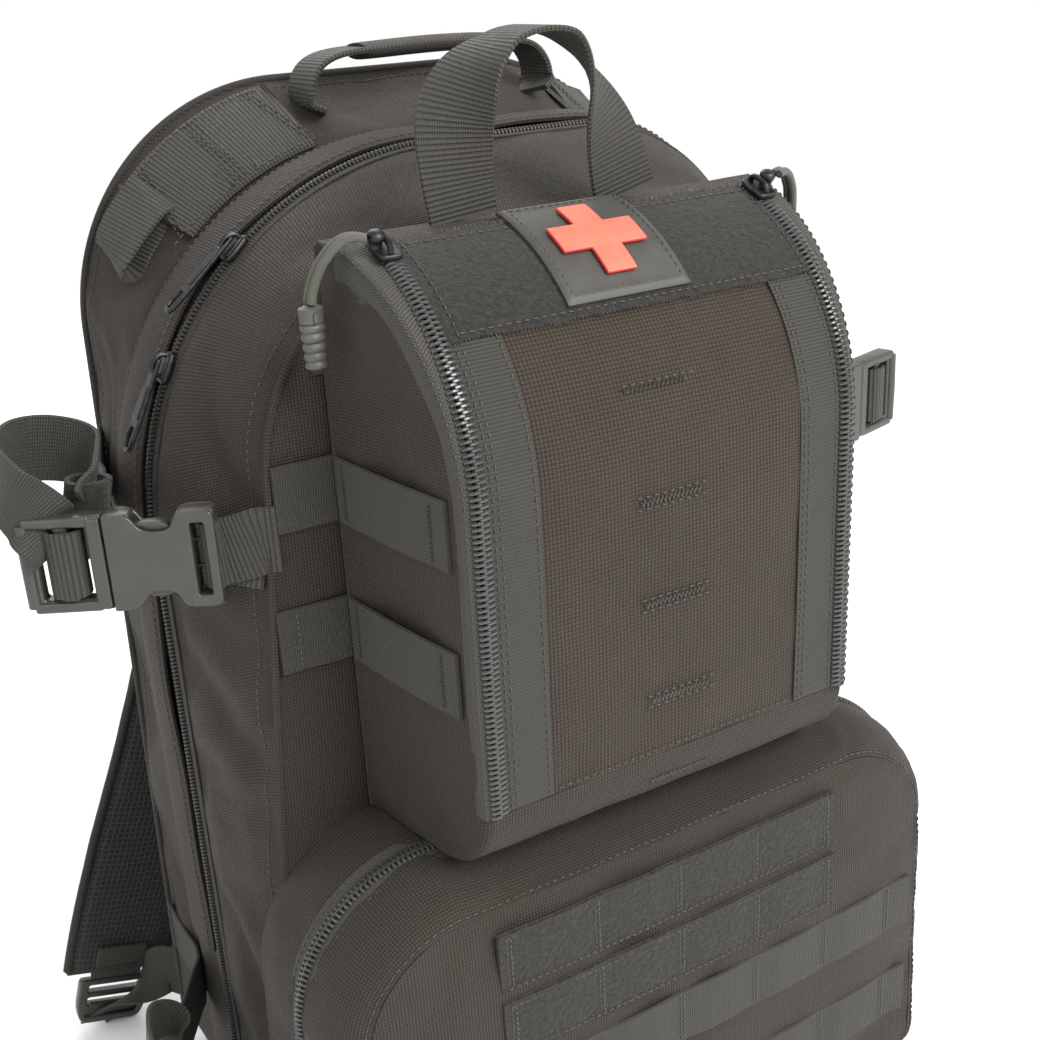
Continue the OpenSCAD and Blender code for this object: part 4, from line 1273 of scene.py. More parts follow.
STRAP_BOW = 24


def strap_line():
    """Middle of the padded strap in the strap's own (y, z), from the back panel down."""
    outer = [(BACK_Y, 0), (92, 2), (108, -12), (120, -60), (127, -140), (129, -230), (125, -310),
             (113, -385)]
    inner = [(BACK_Y, -12), (90, -12), (97, -20), (108, -62), (115, -140), (117, -230), (112, -308),
             (101, -383)]
    return spline((np.array(outer, float) + np.array(inner, float)) / 2, 66)


def shoulder_strap(side):
    """Contoured foam strap: mesh inside, woven cloth outside, bound edges and a webbing spine."""
    name = SIDE_NAME[side]
    line = strap_line()
    tangent = unit(np.gradient(line, axis=0))
    out = np.stack([-tangent[:, 1], tangent[:, 0]], 1)
    out *= np.sign(out[20, 0])
    s = np.linspace(-1, 1, 13)
    run = np.linspace(0, 1, len(line))
    half = 30.0 - 5 * np.clip((run - 0.8) / 0.2, 0, 1) ** 2
    bow = -side * STRAP_BOW * np.sin(np.pi * np.clip(-line[:, 1] / 383, 0, 1))
    skins = []
    for facing in (1, -1):
        lift = facing * 5.2 * (1 - np.abs(s) ** 4) ** 0.5 * np.clip(run * 12 + 0.3, 0, 1)[:, None]
        x = s[None] * half[:, None] + bow[:, None]
        grid = np.stack([x, line[:, None, 0] + out[:, None, 0] * lift,
                         line[:, None, 1] + out[:, None, 1] * lift], 2)
        pinned = edges_of(grid)
        skins.append(drape(grid, pinned, 0.008, 1.2 * facing, 1.2, seed=11.0 + side + facing))
    place = shoulder_frame(side)
    upper, under = (placed(finer(skin), place) for skin in skins)
    cover = slab(Form(), upper, (upper + under) / 2 + (upper - under) * 0.02)
    piece = cover.make(f"strap_cover_{name}", "root", M["shell"], "shell_fabric", sharp=70)
    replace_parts(piece, f"shoulder_strap_{name}")
    lining = slab(Form(), (upper + under) / 2 - (upper - under) * 0.02, under)
    piece = lining.make(f"strap_lining_{name}", "root", M["mesh"], "padded_mesh", sharp=70)
    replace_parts(piece, f"shoulder_strap_{name}")
    edge = (upper + under) / 2
    rim = np.concatenate([edge[:, 0], edge[-1], edge[::-1, -1]])
    form = tube(Form(), rim, 2.4, n=10, up=(0, 1, 0.1))
    form.make(f"strap_binding_{name}", "root", M["binding"], "webbing")
    n = normals(upper)
    facing = np.sign(n[60, 12] @ (upper[60, 12] - under[60, 12]))
    for j in (2, 22):
        sew("root", upper[:, j] + n[:, j] * facing * 0.2, n[:, j] * facing)
    side_way = place[:3, 0]
    spine = upper[14:-2:2, 12] + n[14:-2:2, 12] * facing * 1.2
    form = ribbon(Form(), spine, side_way * facing, WEB_W, WEB_T)
    for i in range(18, 100, 20):
        keeper = upper[i, 12] + n[i, 12] * facing * 2.6 + side_way * np.linspace(-17, 17, 9)[:, None]
        keeper[[0, -1]] -= n[i, 12] * facing * 2.2
        ribbon(form, keeper, unit(upper[i + 1, 12] - upper[i, 12]), 14, 1.4)
    form.make(f"strap_webbing_{name}", "root", M["webbing"], "webbing")
    fold = [(0, 113, -366), (0, 110, -378), (0, 106.6, -390), (0, 103, -380), (0, 101.5, -370)]
    tab = placed(spline(fold, 20), place)
    form = ribbon(Form(), tab, side_way, WEB_W, WEB_T)
    form.make(f"lock_tab_{name}", "root", M["webbing"], "webbing")


def ladder_lock(side):
    """Ladder lock with rounded bars, and the adjuster webbing that runs through it and hangs below."""
    name = SIDE_NAME[side]
    place = shoulder_frame(side) @ shift(0, 107, -389)
    flat = place @ turn("X", 90)
    form = Form()
    rim = rounded([(-18, -1), (18, -1), (18, -17), (15, -26), (-15, -26), (-18, -17)],
                  [2.5, 2.5, 4, 4, 4, 4])
    slots = [box_loop(-13.2, 13.2, z, z + 4, 1.2) for z in (-8, -15, -22)]
    plate(form, [rim, *slots], 5.4, 1.1, flat)
    lip = rounded([(-15, -22.5), (15, -22.5), (13, -28), (-13, -28)], 2)
    plate(form, [lip], 2.2, 0.8, flat @ shift(0, 0, -2.0) @ turn("X", 14))
    piece = form.make(f"lock_{name}", f"ladder_lock_{name}", M["plastic"], "buckle_plastic")
    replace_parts(piece, f"ladder_lock_{name}")
    across = place[:3, 0]
    low = np.array([side * 129, BACK_Y + 0.9, 34.0])
    route = [low, low + (side * 8, 9, -1), low + (side * 18, 20, -2), placed([(0, 3.0, -27)], place)[0],
             placed([(0, -1, -20)], place)[0], placed([(0, -4.2, -13)], place)[0]]
    path = spline(route, 40)
    sideways = np.linspace(0, 1, 41)[:, None]
    twist = np.array([0, 0, 1]) * (1 - sideways) + across * sideways
    form = ribbon(Form(), path, unit(twist), WEB_W, WEB_T)
    strip = form.make(f"adjuster_{name}", None, M["webbing"], "webbing")
    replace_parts(strip, "adjuster_webbing")
    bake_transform(strip)


# ---- Compression straps and their buckles ----

def socket_form(place):
    """Socket of a side release buckle: two faces with scooped windows, rails, a web bar and inner ribs."""
    form = Form()
    shape = [(9.6, 18), (20, 18), (23, 17), (25.5, 11.2), (35, 11.2), (38.6, 17.8), (48, 18), (48, -18),
             (38.6, -17.8), (35, -11.2), (25.5, -11.2), (23, -17), (20, -18), (9.6, -18)]
    radii = [3, 4, 3, 4, 5, 5, 1, 1, 5, 5, 4, 3, 4, 3]
    skin = rounded(shape, radii, 6)
    slot = box_loop(13.2, 18, -13.6, 13.6, 1.0)
    for z in (4.05, -4.05):
        plate(form, [skin, slot], 1.9, 0.75, place, z=z)
    rails = [[(9.6, 14), (9.6, 18), (20, 18), (23, 17), (23, 14)],
             [(38.4, 14.6), (38.6, 17.8), (48, 18), (48, 14.6)]]
    for rail in rails:
        for flip in SIDES:
            plate(form, [rounded(np.array(rail, float) * (1, flip), 1.0)[::flip]], 7.4, 0.5, place)
    plate(form, [box_loop(18.3, 20.3, -15, 15, 0.8)], 7.0, 0.5, place)
    plate(form, [box_loop(9.8, 12.8, -15, 15, 1.2)], 6.4, 1.4, place)
    for y in (-5, 5):
        plate(form, [box_loop(12, 19, y - 0.6, y + 0.6, 0.4)], 1.6, 0.3, place, z=-2.6)
    return form


def plug_form(place):
    """Plug: a ladder for the webbing with a raised grip bar, two sprung prongs and a centre guide."""
    form = Form()
    frame_shape = rounded([(48.4, 17.6), (48.4, -17.6), (62, -18), (74, -17.6), (78, -15.5), (78, 15.5),
                           (74, 17.6), (62, 18)], [1.0, 1.0, 2, 4, 3, 3, 4, 2], 5)
    slots = [box_loop(54.4, 60.6, -13.4, 13.4, 1.4), box_loop(65.6, 72.4, -13.4, 13.4, 1.4)]
    plate(form, [frame_shape, *slots], 6.6, 1.2, place)
    plate(form, [box_loop(48.6, 54, -17.2, 17.2, 1.5)], 9.2, 1.1, place)
    for flip in SIDES:
        plate(form, [box_loop(52, 76, *sorted((flip * 13.8, flip * 17.8)), 1.4)], 8.8, 1.2, place)
        arm = rounded([(49, 9.6), (49, 13), (38, 13.2), (34, 14.1), (29, 14.2), (25.6, 12.4), (25, 10.6),
                       (31, 10.2), (38, 9.6)], [0.5, 0.5, 3, 3, 3, 1.5, 1, 3, 3], 4) * (1, flip)
        plate(form, [arm[::flip]], 5.2, 0.9, place)
    plate(form, [box_loop(34, 49, -2, 2, 1.0)], 5.2, 0.8, place)
    bar = np.array([(76.0, y, 2.6 - 0.02 * abs(y)) for y in np.linspace(-15.5, 15.5, 12)])
    tube(form, placed(bar, place), 2.5, n=12, up=place[:3, 2])
    return form


BUCKLES = (("upper", -1), ("upper", 1), ("lower", -1), ("lower", 1))


def buckle(level, side):
    name = f"{level}_{SIDE_NAME[side]}"
    place = (upper_strap_frame if level == "upper" else lower_strap_frame)(side)
    middle = place @ shift(0, 0, -WEB_T / 2)
    piece = socket_form(middle).make(f"socket_{name}", FRONT, M["plastic"], "buckle_plastic", sharp=55)
    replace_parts(piece, "buckle_sockets")
    body = f"plug_{name}"
    piece = plug_form(middle).make(f"plug_body_{name}", body, M["plastic"], "buckle_plastic", sharp=55)
    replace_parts(piece, f"buckle_plug_{name}")
    across = middle[:3, 1]
    anchor = spline([(-4, 0, -1.2), (2, 0, -0.3), (8, 0, 0), (11.2, 0, 3.2), (14.6, 0, 1.4), (13.0, 0, -2.6),
                     (7, 0, -2.4), (1, 0, -2.0)], 34)
    anchor[:, 0] = np.maximum(anchor[:, 0], -2.5)
    if (level, side) == ("upper", -1):
        anchor[:, 0] -= LEFT_STRAP_EXTRA * np.clip((6 - anchor[:, 0]) / 6, 0, 1)
    fan = 2.2 * np.clip((12 - anchor[:, 0]) / 12, 0, 1.4) ** 1.5
    upper = np.arange(len(anchor)) < len(anchor) * 0.55
    anchor[:, 1] += np.where(upper, fan, -fan)
    web = placed(anchor, middle)
    form = ribbon(Form(), web, across, WEB_W, WEB_T)
    piece = form.make(f"anchor_webbing_{name}", FRONT, M["ribbed"], "webbing")
    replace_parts(piece, "compression_straps_front")
    over = spline([(71, 0, -9), (70.4, 0, -5), (69.4, 0, 0), (68, 0, 3.2), (65.6, 0, 4.6), (60.4, 0, 4.6),
                   (57.4, 0, 1.8), (57.6, 0, -3), (60, 0, -6), (64, 0, -8.2), (68, 0, -9.6)], 60)
    form = ribbon(Form(), placed(over, middle), across, WEB_W, WEB_T)
    form.make(f"ladder_webbing_{name}", body, M["ribbed"], "webbing")
    return middle


def strap_runs():
    """Webbing from the rear seam to each plug, and the slack that each one has left over."""
    for level, side in BUCKLES:
        name = f"{level}_{SIDE_NAME[side]}"
        middle = buckle(level, side)
        z = UPPER_STRAP_Z - (RIGHT_STRAP_DROP if side > 0 else 0) if level == "upper" else LOWER_STRAP_Z + 12
        end = placed([(71, 0, -9)], middle)[0]
        near = placed([(69, 0, -16)], middle)[0]
        back = half_at(back_outline(1.3), z, side) + side * 0.6
        crest = side * (HALF_W + (8 if level == "upper" else 1.8))
        route = [(back, 67, z), ((back + crest) / 2, 44, z), (crest, SLOPE_Y, z),
                 (side * (HALF_W + 12), 4, z), near, end]
        path = spline(route, 70)
        form = ribbon(Form(), path, (0, 0, side * 1.0), WEB_W, WEB_T)
        piece = form.make(f"run_{name}", None, M["webbing"], "webbing")
        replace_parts(piece, f"strap_runs_{level}")
        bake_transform(piece)
        bartack("root", (back + side * 1.4, 62, z), (0, 0, 1), (side, 0, 0), 22)
    slack_loops()


def slack_loops():
    """What is left over of each compression strap: looped back through a keeper, or hanging as a tail."""
    loose = {
        "upper_left": [(-183, -40, 322), (-187, -43, 334), (-194, -38, 344), (-195, -27, 350),
                       (-187, -16, 352), (-173, -13, 350), (-162, -21, 346), (-164, -33, 339),
                       (-170, -39, 333)],
        "lower_left": [(-172, -66, 68), (-178, -62, 84), (-184, -46, 97), (-180, -30, 101), (-171, -28, 94),
                       (-173, -42, 82)],
        "upper_right": [(184, -46, 312), (186, -34, 306), (182, -24, 294), (179, -22, 276)],
        "lower_right": [(188, -66, 60), (186, -52, 47), (174, -46, 43), (166, -58, 49), (176, -68, 57)]}
    for name, route in loose.items():
        way = (0.25, 1, 0.2) if name == "upper_right" else (0.12, -0.06, 1)
        form = ribbon(Form(), spline(route, 70), way, WEB_W, WEB_T)
        form.make(f"slack_{name}", f"plug_{name}", M["webbing"], "webbing")
    a = np.radians(np.linspace(0, 360, 33))[:, None]
    keeper = (np.array((-169, -37, 336)) + 7.5 * np.cos(a) * (0.8, -0.55, 0)
              + 4.5 * np.sin(a) * (0.55, 0.8, 0.1))
    ribbon(Form(), keeper, (0.2, -0.15, 1), 17, 2.4).make("keeper_upper_left", "plug_upper_left", M["loop"],
                                                        "loop_fabric")


# ---- Attachment webbing ----

def half_at(points, z, side):
    """How far out a closed outline is at a height, on one side."""
    order = points[60:] if side > 0 else np.concatenate([points[60:], points[:1]])
    order = order[order[:, 0] * side > 20]
    order = order[np.argsort(order[:, 1])]
    return side * np.interp(z, order[:, 1], order[:, 0] * side)


def webbing_row(name, body, node, x0, x1, z, y_of, tacks, bow=0.9, width=WEB_W, paint="webbing",
                slot="webbing", thick=WEB_T):
    """A row of webbing across the bag, tacked down at intervals and slightly bowed between them."""
    x = np.linspace(x0, x1, 90)
    near = np.abs(x[:, None] - np.asarray(tacks)[None]).min(1)
    lift = bow * np.clip(near / 12, 0, 1) ** 1.3
    y = np.array([y_of(v, z + width / 2) for v in x]) - thick / 2 - lift
    path = np.stack([x, y, np.full_like(x, z + width / 2)], 1)
    form = ribbon(Form(), path, (0, 0, 1), width, thick)
    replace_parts(form.make(name, body, M[paint], slot), node)
    for t in tacks:
        at = y_of(t, z + width / 2) - thick
        # The right-hand column is sewn in the paler thread, a lit copy of the left one: painted light.
        for dx in (-0.9, 0.9):
            column = np.array([(t + dx, at - 0.1, z + k) for k in np.linspace(1.5, width - 1.5, 12)])
            sew(body, column, (0, -1, 0), "pale thread" if dx > 0 else "thread", pitch=2.4, length=1.7)


def upper_webbing():
    points = front_outline()
    for z in UPPER_ROWS:
        x0, x1 = (half_at(points, z + WEB_W / 2, side) - side * 1.0 for side in SIDES)
        tacks = [k * 38 for k in range(-3, 4) if x0 + 6 < k * 38 < x1 - 6]
        webbing_row(f"row_upper_{z}", FRONT, "upper_molle_webbing", x0, x1, z,
                    lambda x, height: FRONT_Y, tacks)


# ---- Medical pouch ----

def pouch_profile():
    """The pouch's front skin from its lower rear edge up to its top, as (y, z), and where the back edge
    of its side wall lies for each point."""
    low = np.stack([np.linspace(POUCH_BACK_Y - 1.5, POUCH_Y + POUCH_LOW_R, 10)[:-1],
                    np.full(9, POUCH_LOW_Z)], 1)
    corner = arc(POUCH_Y + POUCH_LOW_R, POUCH_LOW_Z + POUCH_LOW_R, POUCH_LOW_R, 270, 180, 9)
    front = between(corner[-1], (POUCH_Y, POUCH_ARC_Z), 22)
    a = np.radians(np.linspace(0, 84, 29))
    top = np.stack([POUCH_ARC_Y - POUCH_R * np.cos(a), POUCH_ARC_Z + POUCH_R * np.sin(a)], 1)
    back = np.concatenate([np.linspace(POUCH_LOW_Z, POUCH_LOW_Z + 20, 10)[:-1],
                           np.linspace(POUCH_LOW_Z + 20, POUCH_LOW_Z + POUCH_LOW_R, 10), front[:, 1],
                           POUCH_ARC_Z + 78 * np.sin(a) / np.sin(a[-1])])
    return np.concatenate([low, corner, front, top]), back


def pouch_half(y):
    return 82 + (y - POUCH_Y + 1) * 10 / 73


def pouch_section(c, back_z, radius=3.0):
    """One section of the pouch: up one side wall, round the corner, across the front and back."""
    base = np.array([POUCH_BACK_Y, back_z])
    reach = np.linalg.norm(c - base)
    r = min(radius, reach * 0.45)
    d = (c - base) / max(reach, 1e-6)
    right = []
    for t in np.linspace(0, reach - r, 12):
        y, z = base + d * t
        right.append((pouch_half(y), y, z))
    half = pouch_half(c[0])
    for a in np.radians((25, 50, 72)):
        y, z = base + d * (reach - r + r * math.sin(a))
        right.append((half - r + r * math.cos(a), y, z))
    flat = [(x, *c) for x in np.r_[half - r, 79.4, np.linspace(75, 0, 12)]]
    right = np.array(right + flat)
    left = right[:-1] * (-1, 1, 1)
    return np.concatenate([left, right[::-1]])


def pouch_grid():
    profile, back = pouch_profile()
    return np.stack([pouch_section(c, z) for c, z in zip(profile, back)], 1)


def profile_point(height, e):
    """A point on the pouch's front skin by its distance up from the fold, e proud of it, and its normal."""
    straight = POUCH_ARC_Z - HINGE_Z
    height = np.asarray(height, float)
    a = np.clip((height - straight) / POUCH_R, 0, None)
    y = np.where(a > 0, POUCH_ARC_Y - (POUCH_R + e) * np.cos(a), POUCH_Y - e)
    z = np.where(a > 0, POUCH_ARC_Z + (POUCH_R + e) * np.sin(a), HINGE_Z + height)
    return y, z, np.cos(a), np.sin(a)


def at_angle(a):
    """Distance up the pouch's front from the fold to an angle round its top."""
    return POUCH_ARC_Z - HINGE_Z + POUCH_R * math.radians(a)


def front_skin(x0, x1, low, high, e, nx, nh, swell=0.0):
    """A grid on the pouch's front between two heights, lifted by e, and crowned by swell."""
    x, h = np.meshgrid(np.linspace(x0, x1, nx), np.linspace(low, high, nh), indexing="ij")
    up = np.clip(h / at_angle(FIELD_LOW_A), 0, 1)
    crown = e + swell * (1 - np.abs(x / PANEL_HALF) ** 3) * np.sin(np.pi * up)
    y, z, c, s = profile_point(h, 0)
    return np.stack([x, y - crown * c, z + crown * s], 2)


PANEL_SWELL = 1.6
# How far the zipper tape wraps on to the pouch's side wall, with room to spare
WRAP_REACH = 17
# Half width of the opening that the panel fills
OPENING_HALF = 79.4


def pouch_body():
    """The pouch's wall, slack at its sides and flat under the zipper tape, and its back."""
    grid = pouch_grid()
    profile, _ = pouch_profile()
    a_row = np.argmax(profile[:, 1] > HINGE_Z + 0.1)
    angles = np.degrees(np.arctan2(profile[:, 1] - POUCH_ARC_Z, POUCH_ARC_Y - profile[:, 0]))
    b_row = len(profile) - 1 - np.argmax((angles <= PANEL_END_A + 0.4)[::-1])
    pinned = edges_of(grid) | (np.abs(grid[..., 0]) < pouch_half(grid[..., 1]) - 2)
    pinned |= grid[..., 1] - profile[None, :, 0] < WRAP_REACH
    settled = drape(grid, pinned, 0.02, -0.6, 2.0, seed=13.0)
    opening = np.abs(grid[:-1, :-1, 0] + grid[1:, :-1, 0]) / 2 < OPENING_HALF
    opening[:, :a_row] = False
    opening[:, b_row:] = False
    piece = shell(Form(), settled, 1.8, keep=~opening).make("pouch_shell", FRONT, M["shell"], "shell_fabric")
    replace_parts(piece, "pouch_wall")
    low, high = span("pouch_back")
    x, z = np.meshgrid(np.linspace(low[0], high[0], 24), np.linspace(low[2], high[2], 26), indexing="ij")
    back = np.stack([x, np.full_like(x, low[1]), z], 2)
    piece = shell(Form(), back, 2.2).make("pouch_rear", FRONT, M["shell"], "shell_fabric")
    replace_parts(piece, "pouch_back")
    for side in SIDES:
        edge = np.array([(side * high[0], high[1] - 1.2, z) for z in np.linspace(low[2], 405, 40)])
        tube(Form(), edge, 1.5, n=8).make(f"pouch_seam_{SIDE_NAME[side]}", FRONT, M["binding"], "webbing")


# Heights of the bartacks down the panel
TACK_ROWS = (371, 333, 295, 257)


def pouch_panel():
    """The front of the pouch that folds down: coarse cloth, tapes beside the zippers and bartacks."""
    top = at_angle(PANEL_END_A)
    grid = front_skin(-PANEL_HALF, PANEL_HALF, 0.5, top, 0, 31, 44, PANEL_SWELL)
    pinned = edges_of(grid) | (np.abs(grid[..., 0]) > PANEL_HALF - 22)
    for z in TACK_ROWS:
        pinned |= (np.abs(grid[..., 2] - z) < 3.5) & (np.abs(grid[..., 0] + 3) < 18)
    pinned |= grid[..., 2] > POUCH_ARC_Z + POUCH_R * math.sin(math.radians(FIELD_LOW_A)) - 1
    grid = drape(grid, pinned, 0.006, 0.3, 0.5, seed=17.0)
    grid = finer(grid)
    piece = shell(Form(), grid, 2.0).make("pouch_front", "pouch_panel", M["pouch"], "shell_fabric")
    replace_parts(piece, "pouch_panel")
    field_low = at_angle(FIELD_LOW_A)
    for side in SIDES:
        name = SIDE_NAME[side]
        x0, x1 = sorted((side * (PANEL_HALF - 20), side * (PANEL_HALF - 1)))
        tape = front_skin(x0, x1, 1.5, field_low - 0.5, 0.9, 7, 60, PANEL_SWELL * 0.9)
        tape = np.transpose(tape, (1, 0, 2))
        n = -normals(tape)
        form = slab(Form(), tape, tape - n * 0.8)
        piece = form.make(f"panel_tape_{name}", "pouch_panel", M["tape"], "webbing")
        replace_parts(piece, "pouch_panel_tapes")
        for j in (0.6, 1.3, 5.5):
            row = tape[:, 0] * (1 - j / 6) + tape[:, 6] * (j / 6) + n[:, 3] * 0.1
            sew("pouch_panel", row, n[:, 3])
    for k, x in zip(TACK_ROWS, (-5, -3, -2, 0)):
        height = k - HINGE_Z if k <= POUCH_ARC_Z else POUCH_ARC_Z - HINGE_Z + POUCH_R * math.asin(
            (k - POUCH_ARC_Z) / POUCH_R)
        y, z, c, s = profile_point(height, PANEL_SWELL + 0.35)
        bartack("pouch_panel", (x, float(y), float(z)), (1, 0, 0), (0, -float(c), float(s)), 26, 2.0,
                "thread")
        for dh in (-2.2, 2.2):
            row = np.array([(x + t, float(y) - dh * float(s), float(z) + dh * float(c))
                            for t in np.linspace(-15, 15, 12)])
            sew("pouch_panel", row, (0, -float(c), float(s)))
    bartack(FRONT, (2, -152.6, 221), (1, 0, 0), (0, -0.9, -0.4), 26, 2.0, "thread")
    sew("pouch_panel", front_skin(-53, 53, 2.6, 3.6, 0.3, 30, 2, 0)[:, 0], (0, -1, 0))


def loop_field():
    """Pile across the top of the panel, sewn round its edge, with a slightly frayed cut."""
    low, high = at_angle(FIELD_LOW_A), at_angle(PANEL_END_A - 1)
    grid = front_skin(-PANEL_HALF, PANEL_HALF, low, high, 1.7, 61, 24)
    ragged = wander(grid * (1, 0.2, 0.2), 5.0, 0.9, 4.0)
    grid[:, 0] += (0, -0.5, -0.6) * ragged[:, :1]
    grid[:, -1] += (0, 0.5, 0.5) * ragged[:, -1:]
    n = normals(grid)
    fuzz = wander(grid, 2.6, 0.25, 8.0)
    form = slab(Form(), grid + n * fuzz[..., None], grid - n * 1.7)
    piece = form.make("loop_field", "pouch_panel", M["loop"], "loop_fabric")
    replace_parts(piece, "pouch_loop_field")
    inset = 2
    border = np.concatenate([grid[inset:-inset, 1], grid[-inset, 1:-2], grid[-inset:inset:-1, -3],
                             grid[inset, -2:0:-1]])
    way = np.concatenate([n[inset:-inset, 1], n[-inset, 1:-2], n[-inset:inset:-1, -3], n[inset, -2:0:-1]])
    sew("pouch_panel", border + way * 0.25, way)
    for j in (0, -1):
        path = grid[:, j] + n[:, j] * 0.05
        hairs = Form()
        for i in range(0, len(path) - 1):
            for k in range(5):
                root = path[i] + (path[i + 1] - path[i]) * k / 5
                lean = 0.8 * math.sin(i * 3.7 + k * 2.1)
                tip = root + (lean, (0.5 if j else -0.3) * (1 + 0.5 * math.sin(k + i)), 1.1 if j else -1.0)
                tube(hairs, np.array([root, (root + tip) / 2 + n[i, j] * 0.3, tip]), 0.11, n=3)
        hairs.make(f"frayed_edge_{'top' if j else 'low'}", "pouch_panel", M["thread"], "loop_fabric")


def pouch_zippers():
    """Curved coil zippers on both sides: the inner halves fold down with the panel."""
    height = np.linspace(1.0, at_angle(PANEL_END_A) - 0.5, 300)
    y, z, c, s = profile_point(height, 1.3)
    out = np.stack([np.zeros_like(c), -c, s], 1)
    for side in SIDES:
        name = SIDE_NAME[side]
        path = np.stack([np.full_like(y, side * 77.2), y, z], 1)
        teeth = chain(Form(), path, (side, 0, 0), out, 2.0, 3.4, 0.25)
        piece = teeth.make(f"panel_teeth_{name}", "pouch_panel", M["coil"], "zipper_coil")
        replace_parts(piece, "pouch_zipper_panel")
        tape = np.stack([np.stack([np.full_like(y, side * x), *profile_point(height, 0.75)[:2]], 1)
                         for x in (73.6, 75.2, 76.4)], 1)
        n = out[:, None]
        facing_out = tape if side > 0 else tape[:, ::-1]
        form = slab(Form(), facing_out, facing_out - n * 0.7)
        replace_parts(form.make(f"panel_zip_tape_{name}", "pouch_panel", M["zip tape"], "zipper_coil"),
                    "pouch_zipper_panel")
        teeth = chain(Form(), path, (-side, 0, 0), out, 2.0, 3.4, -0.25)
        piece = teeth.make(f"wall_teeth_{name}", FRONT, M["coil"], "zipper_coil")
        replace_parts(piece, "pouch_zipper_wall")
        wrap = zipper_wrap(side)
        piece = shell(Form(), wrap, 0.8).make(f"wall_zip_tape_{name}", FRONT, M["zip tape"], "zipper_coil")
        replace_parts(piece, "pouch_zipper_wall")
        sew_on(FRONT, wrap, [-3 if side > 0 else 2], 0.15)


def zipper_wrap(side):
    """Tape from beside the coil, round the pouch's edge and on to its side wall."""
    low = np.linspace(0.5, at_angle(PANEL_END_A), 90)
    y, z, c, s = profile_point(low, 0)
    half = pouch_half(y)
    columns = [(78.4 + 0 * half, 0.7), (half - 1.6, 0.8), (half - 0.3, 0.3), (half + 0.6, -1.2),
               (half + 0.9, -4.5)]
    columns += [(half + 0.9 - 0.12 * d, -4.5 - d) for d in (3, 6, 9)]
    grid = np.stack([np.stack([side * x, y - e * c, z + e * s], 1) for x, e in columns], 1)
    return grid[:, ::-1] if side > 0 else grid


def pouch_straps():
    """Two webbing straps round each side wall, and the elastic loops inside."""
    for side in SIDES:
        for z in (323, 269):
            y = np.linspace(POUCH_BACK_Y - 0.5, -147, 26)
            bow = 0.8 * np.sin(np.pi * np.linspace(0, 1, 26))
            path = np.stack([side * (pouch_half(y) + 1.1 + bow), y, np.full(26, z + WEB_W / 2)], 1)
            form = ribbon(Form(), path, (0, 0, -side), WEB_W, WEB_T)
            piece = form.make(f"side_strap_{SIDE_NAME[side]}_{z}", FRONT, M["webbing"], "webbing")
            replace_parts(piece, "pouch_side_straps")
            for i in (2, 22):
                bartack(FRONT, path[i] + (side * 0.9, 0, 0), (0, 0, 1), (side, 0, 0), 21, 1.4, "thread")
    form = Form()
    for z in (250, 310):
        for k in range(-2, 3):
            x = np.linspace(k * 30 - 12, k * 30 + 12, 14)
            arch = POUCH_BACK_Y - 0.7 - 3.0 * np.sin(np.pi * np.linspace(0, 1, 14)) ** 0.7
            ribbon(form, np.stack([x, arch, np.full(14, z + 15.0)], 1), (0, 0, 1), 29.5, 1.2)
    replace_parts(form.make("organizer_loops", FRONT, M["tape"], "webbing"), "pouch_organizer")


def pouch_handle():
    """A loop of webbing that faces forwards at its feet and turns on edge over the top."""
    route = [(-37.5, -86, 423), (-39, -86, 440), (-38, -86, 458), (-30, -86, 473), (-15, -86, 482),
             (3, -86, 481.5), (15, -86, 469), (24, -86, 448), (30.5, -86, 423)]
    path = spline(route, 72)
    share = np.linspace(0, 1, 73)
    turned = np.clip(np.minimum(share / 0.42, (1 - share) / 0.42), 0, 1) ** 1.6
    tangent = unit(np.gradient(path, axis=0))
    flat = unit(np.cross(tangent, (0.0, -1.0, 0.0)))
    flat = unit(flat * np.sign(flat[0] @ np.array([1.0, 0, 0])))
    side = unit(flat * (1 - turned[:, None]) + np.array([0.0, -1.0, 0.0]) * turned[:, None] * 1.25)
    form = ribbon(Form(), path, side, 27, 1.8, cup=0.0)
    piece = form.make("handle_webbing", "pouch_handle", M["ribbed"], "webbing")
    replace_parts(piece, "pouch_handle")


def pouch_sliders():
    """Slider with a cast body over the coil and a post with an eye for the cord."""
    for side in SIDES:
        name = SIDE_NAME[side]
        place = (shift(side * 81, POUCH_ARC_Y, POUCH_ARC_Z) @ turn("X", -SLIDER_A) @ shift(0, -POUCH_R, 0))
        form = Form()
        flat = place @ turn("X", 90)
        inward = -side * 3.2
        wing = rounded([(-4.2, -7), (4.2, -7), (4.4, 0), (3, 7), (-3, 7), (-4.4, 0)], 2.2) + (inward, 0)
        plate(form, [wing], 2.4, 0.8, flat, z=3.4)
        bridge = spline([(inward, -4.4, -5), (inward, -6.6, -3.6), (inward, -7.2, 0), (inward, -6.6, 3.6),
                         (inward, -4.4, 5)], 16)
        tube(form, placed(bridge, place), 1.1, n=8, up=(1, 0, 0))
        post = spline([(0, -4.6, 0), (0, -7, 0), (0, -10.2, 0)], 8)
        radii = np.r_[2.4, 2.3, 2.2, 2.4, 2.8, 3.0, 3.0, 2.7, 1.6]
        tube(form, placed(post, place), radii, n=14, up=(1, 0, 0))
        piece = form.make(f"pouch_slider_body_{name}", f"pouch_slider_{name}", M["metal"], "zipper_metal")
        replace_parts(piece, f"pouch_slider_{name}")


def patch_grid(e, half_x, half_h, nx, nh):
    """A grid on the patch, centred on it, that follows the curve of the pouch's top."""
    middle = at_angle(PATCH_A)
    return front_skin(PATCH_X - half_x, PATCH_X + half_x, middle - half_h, middle + half_h, e, nx, nh)


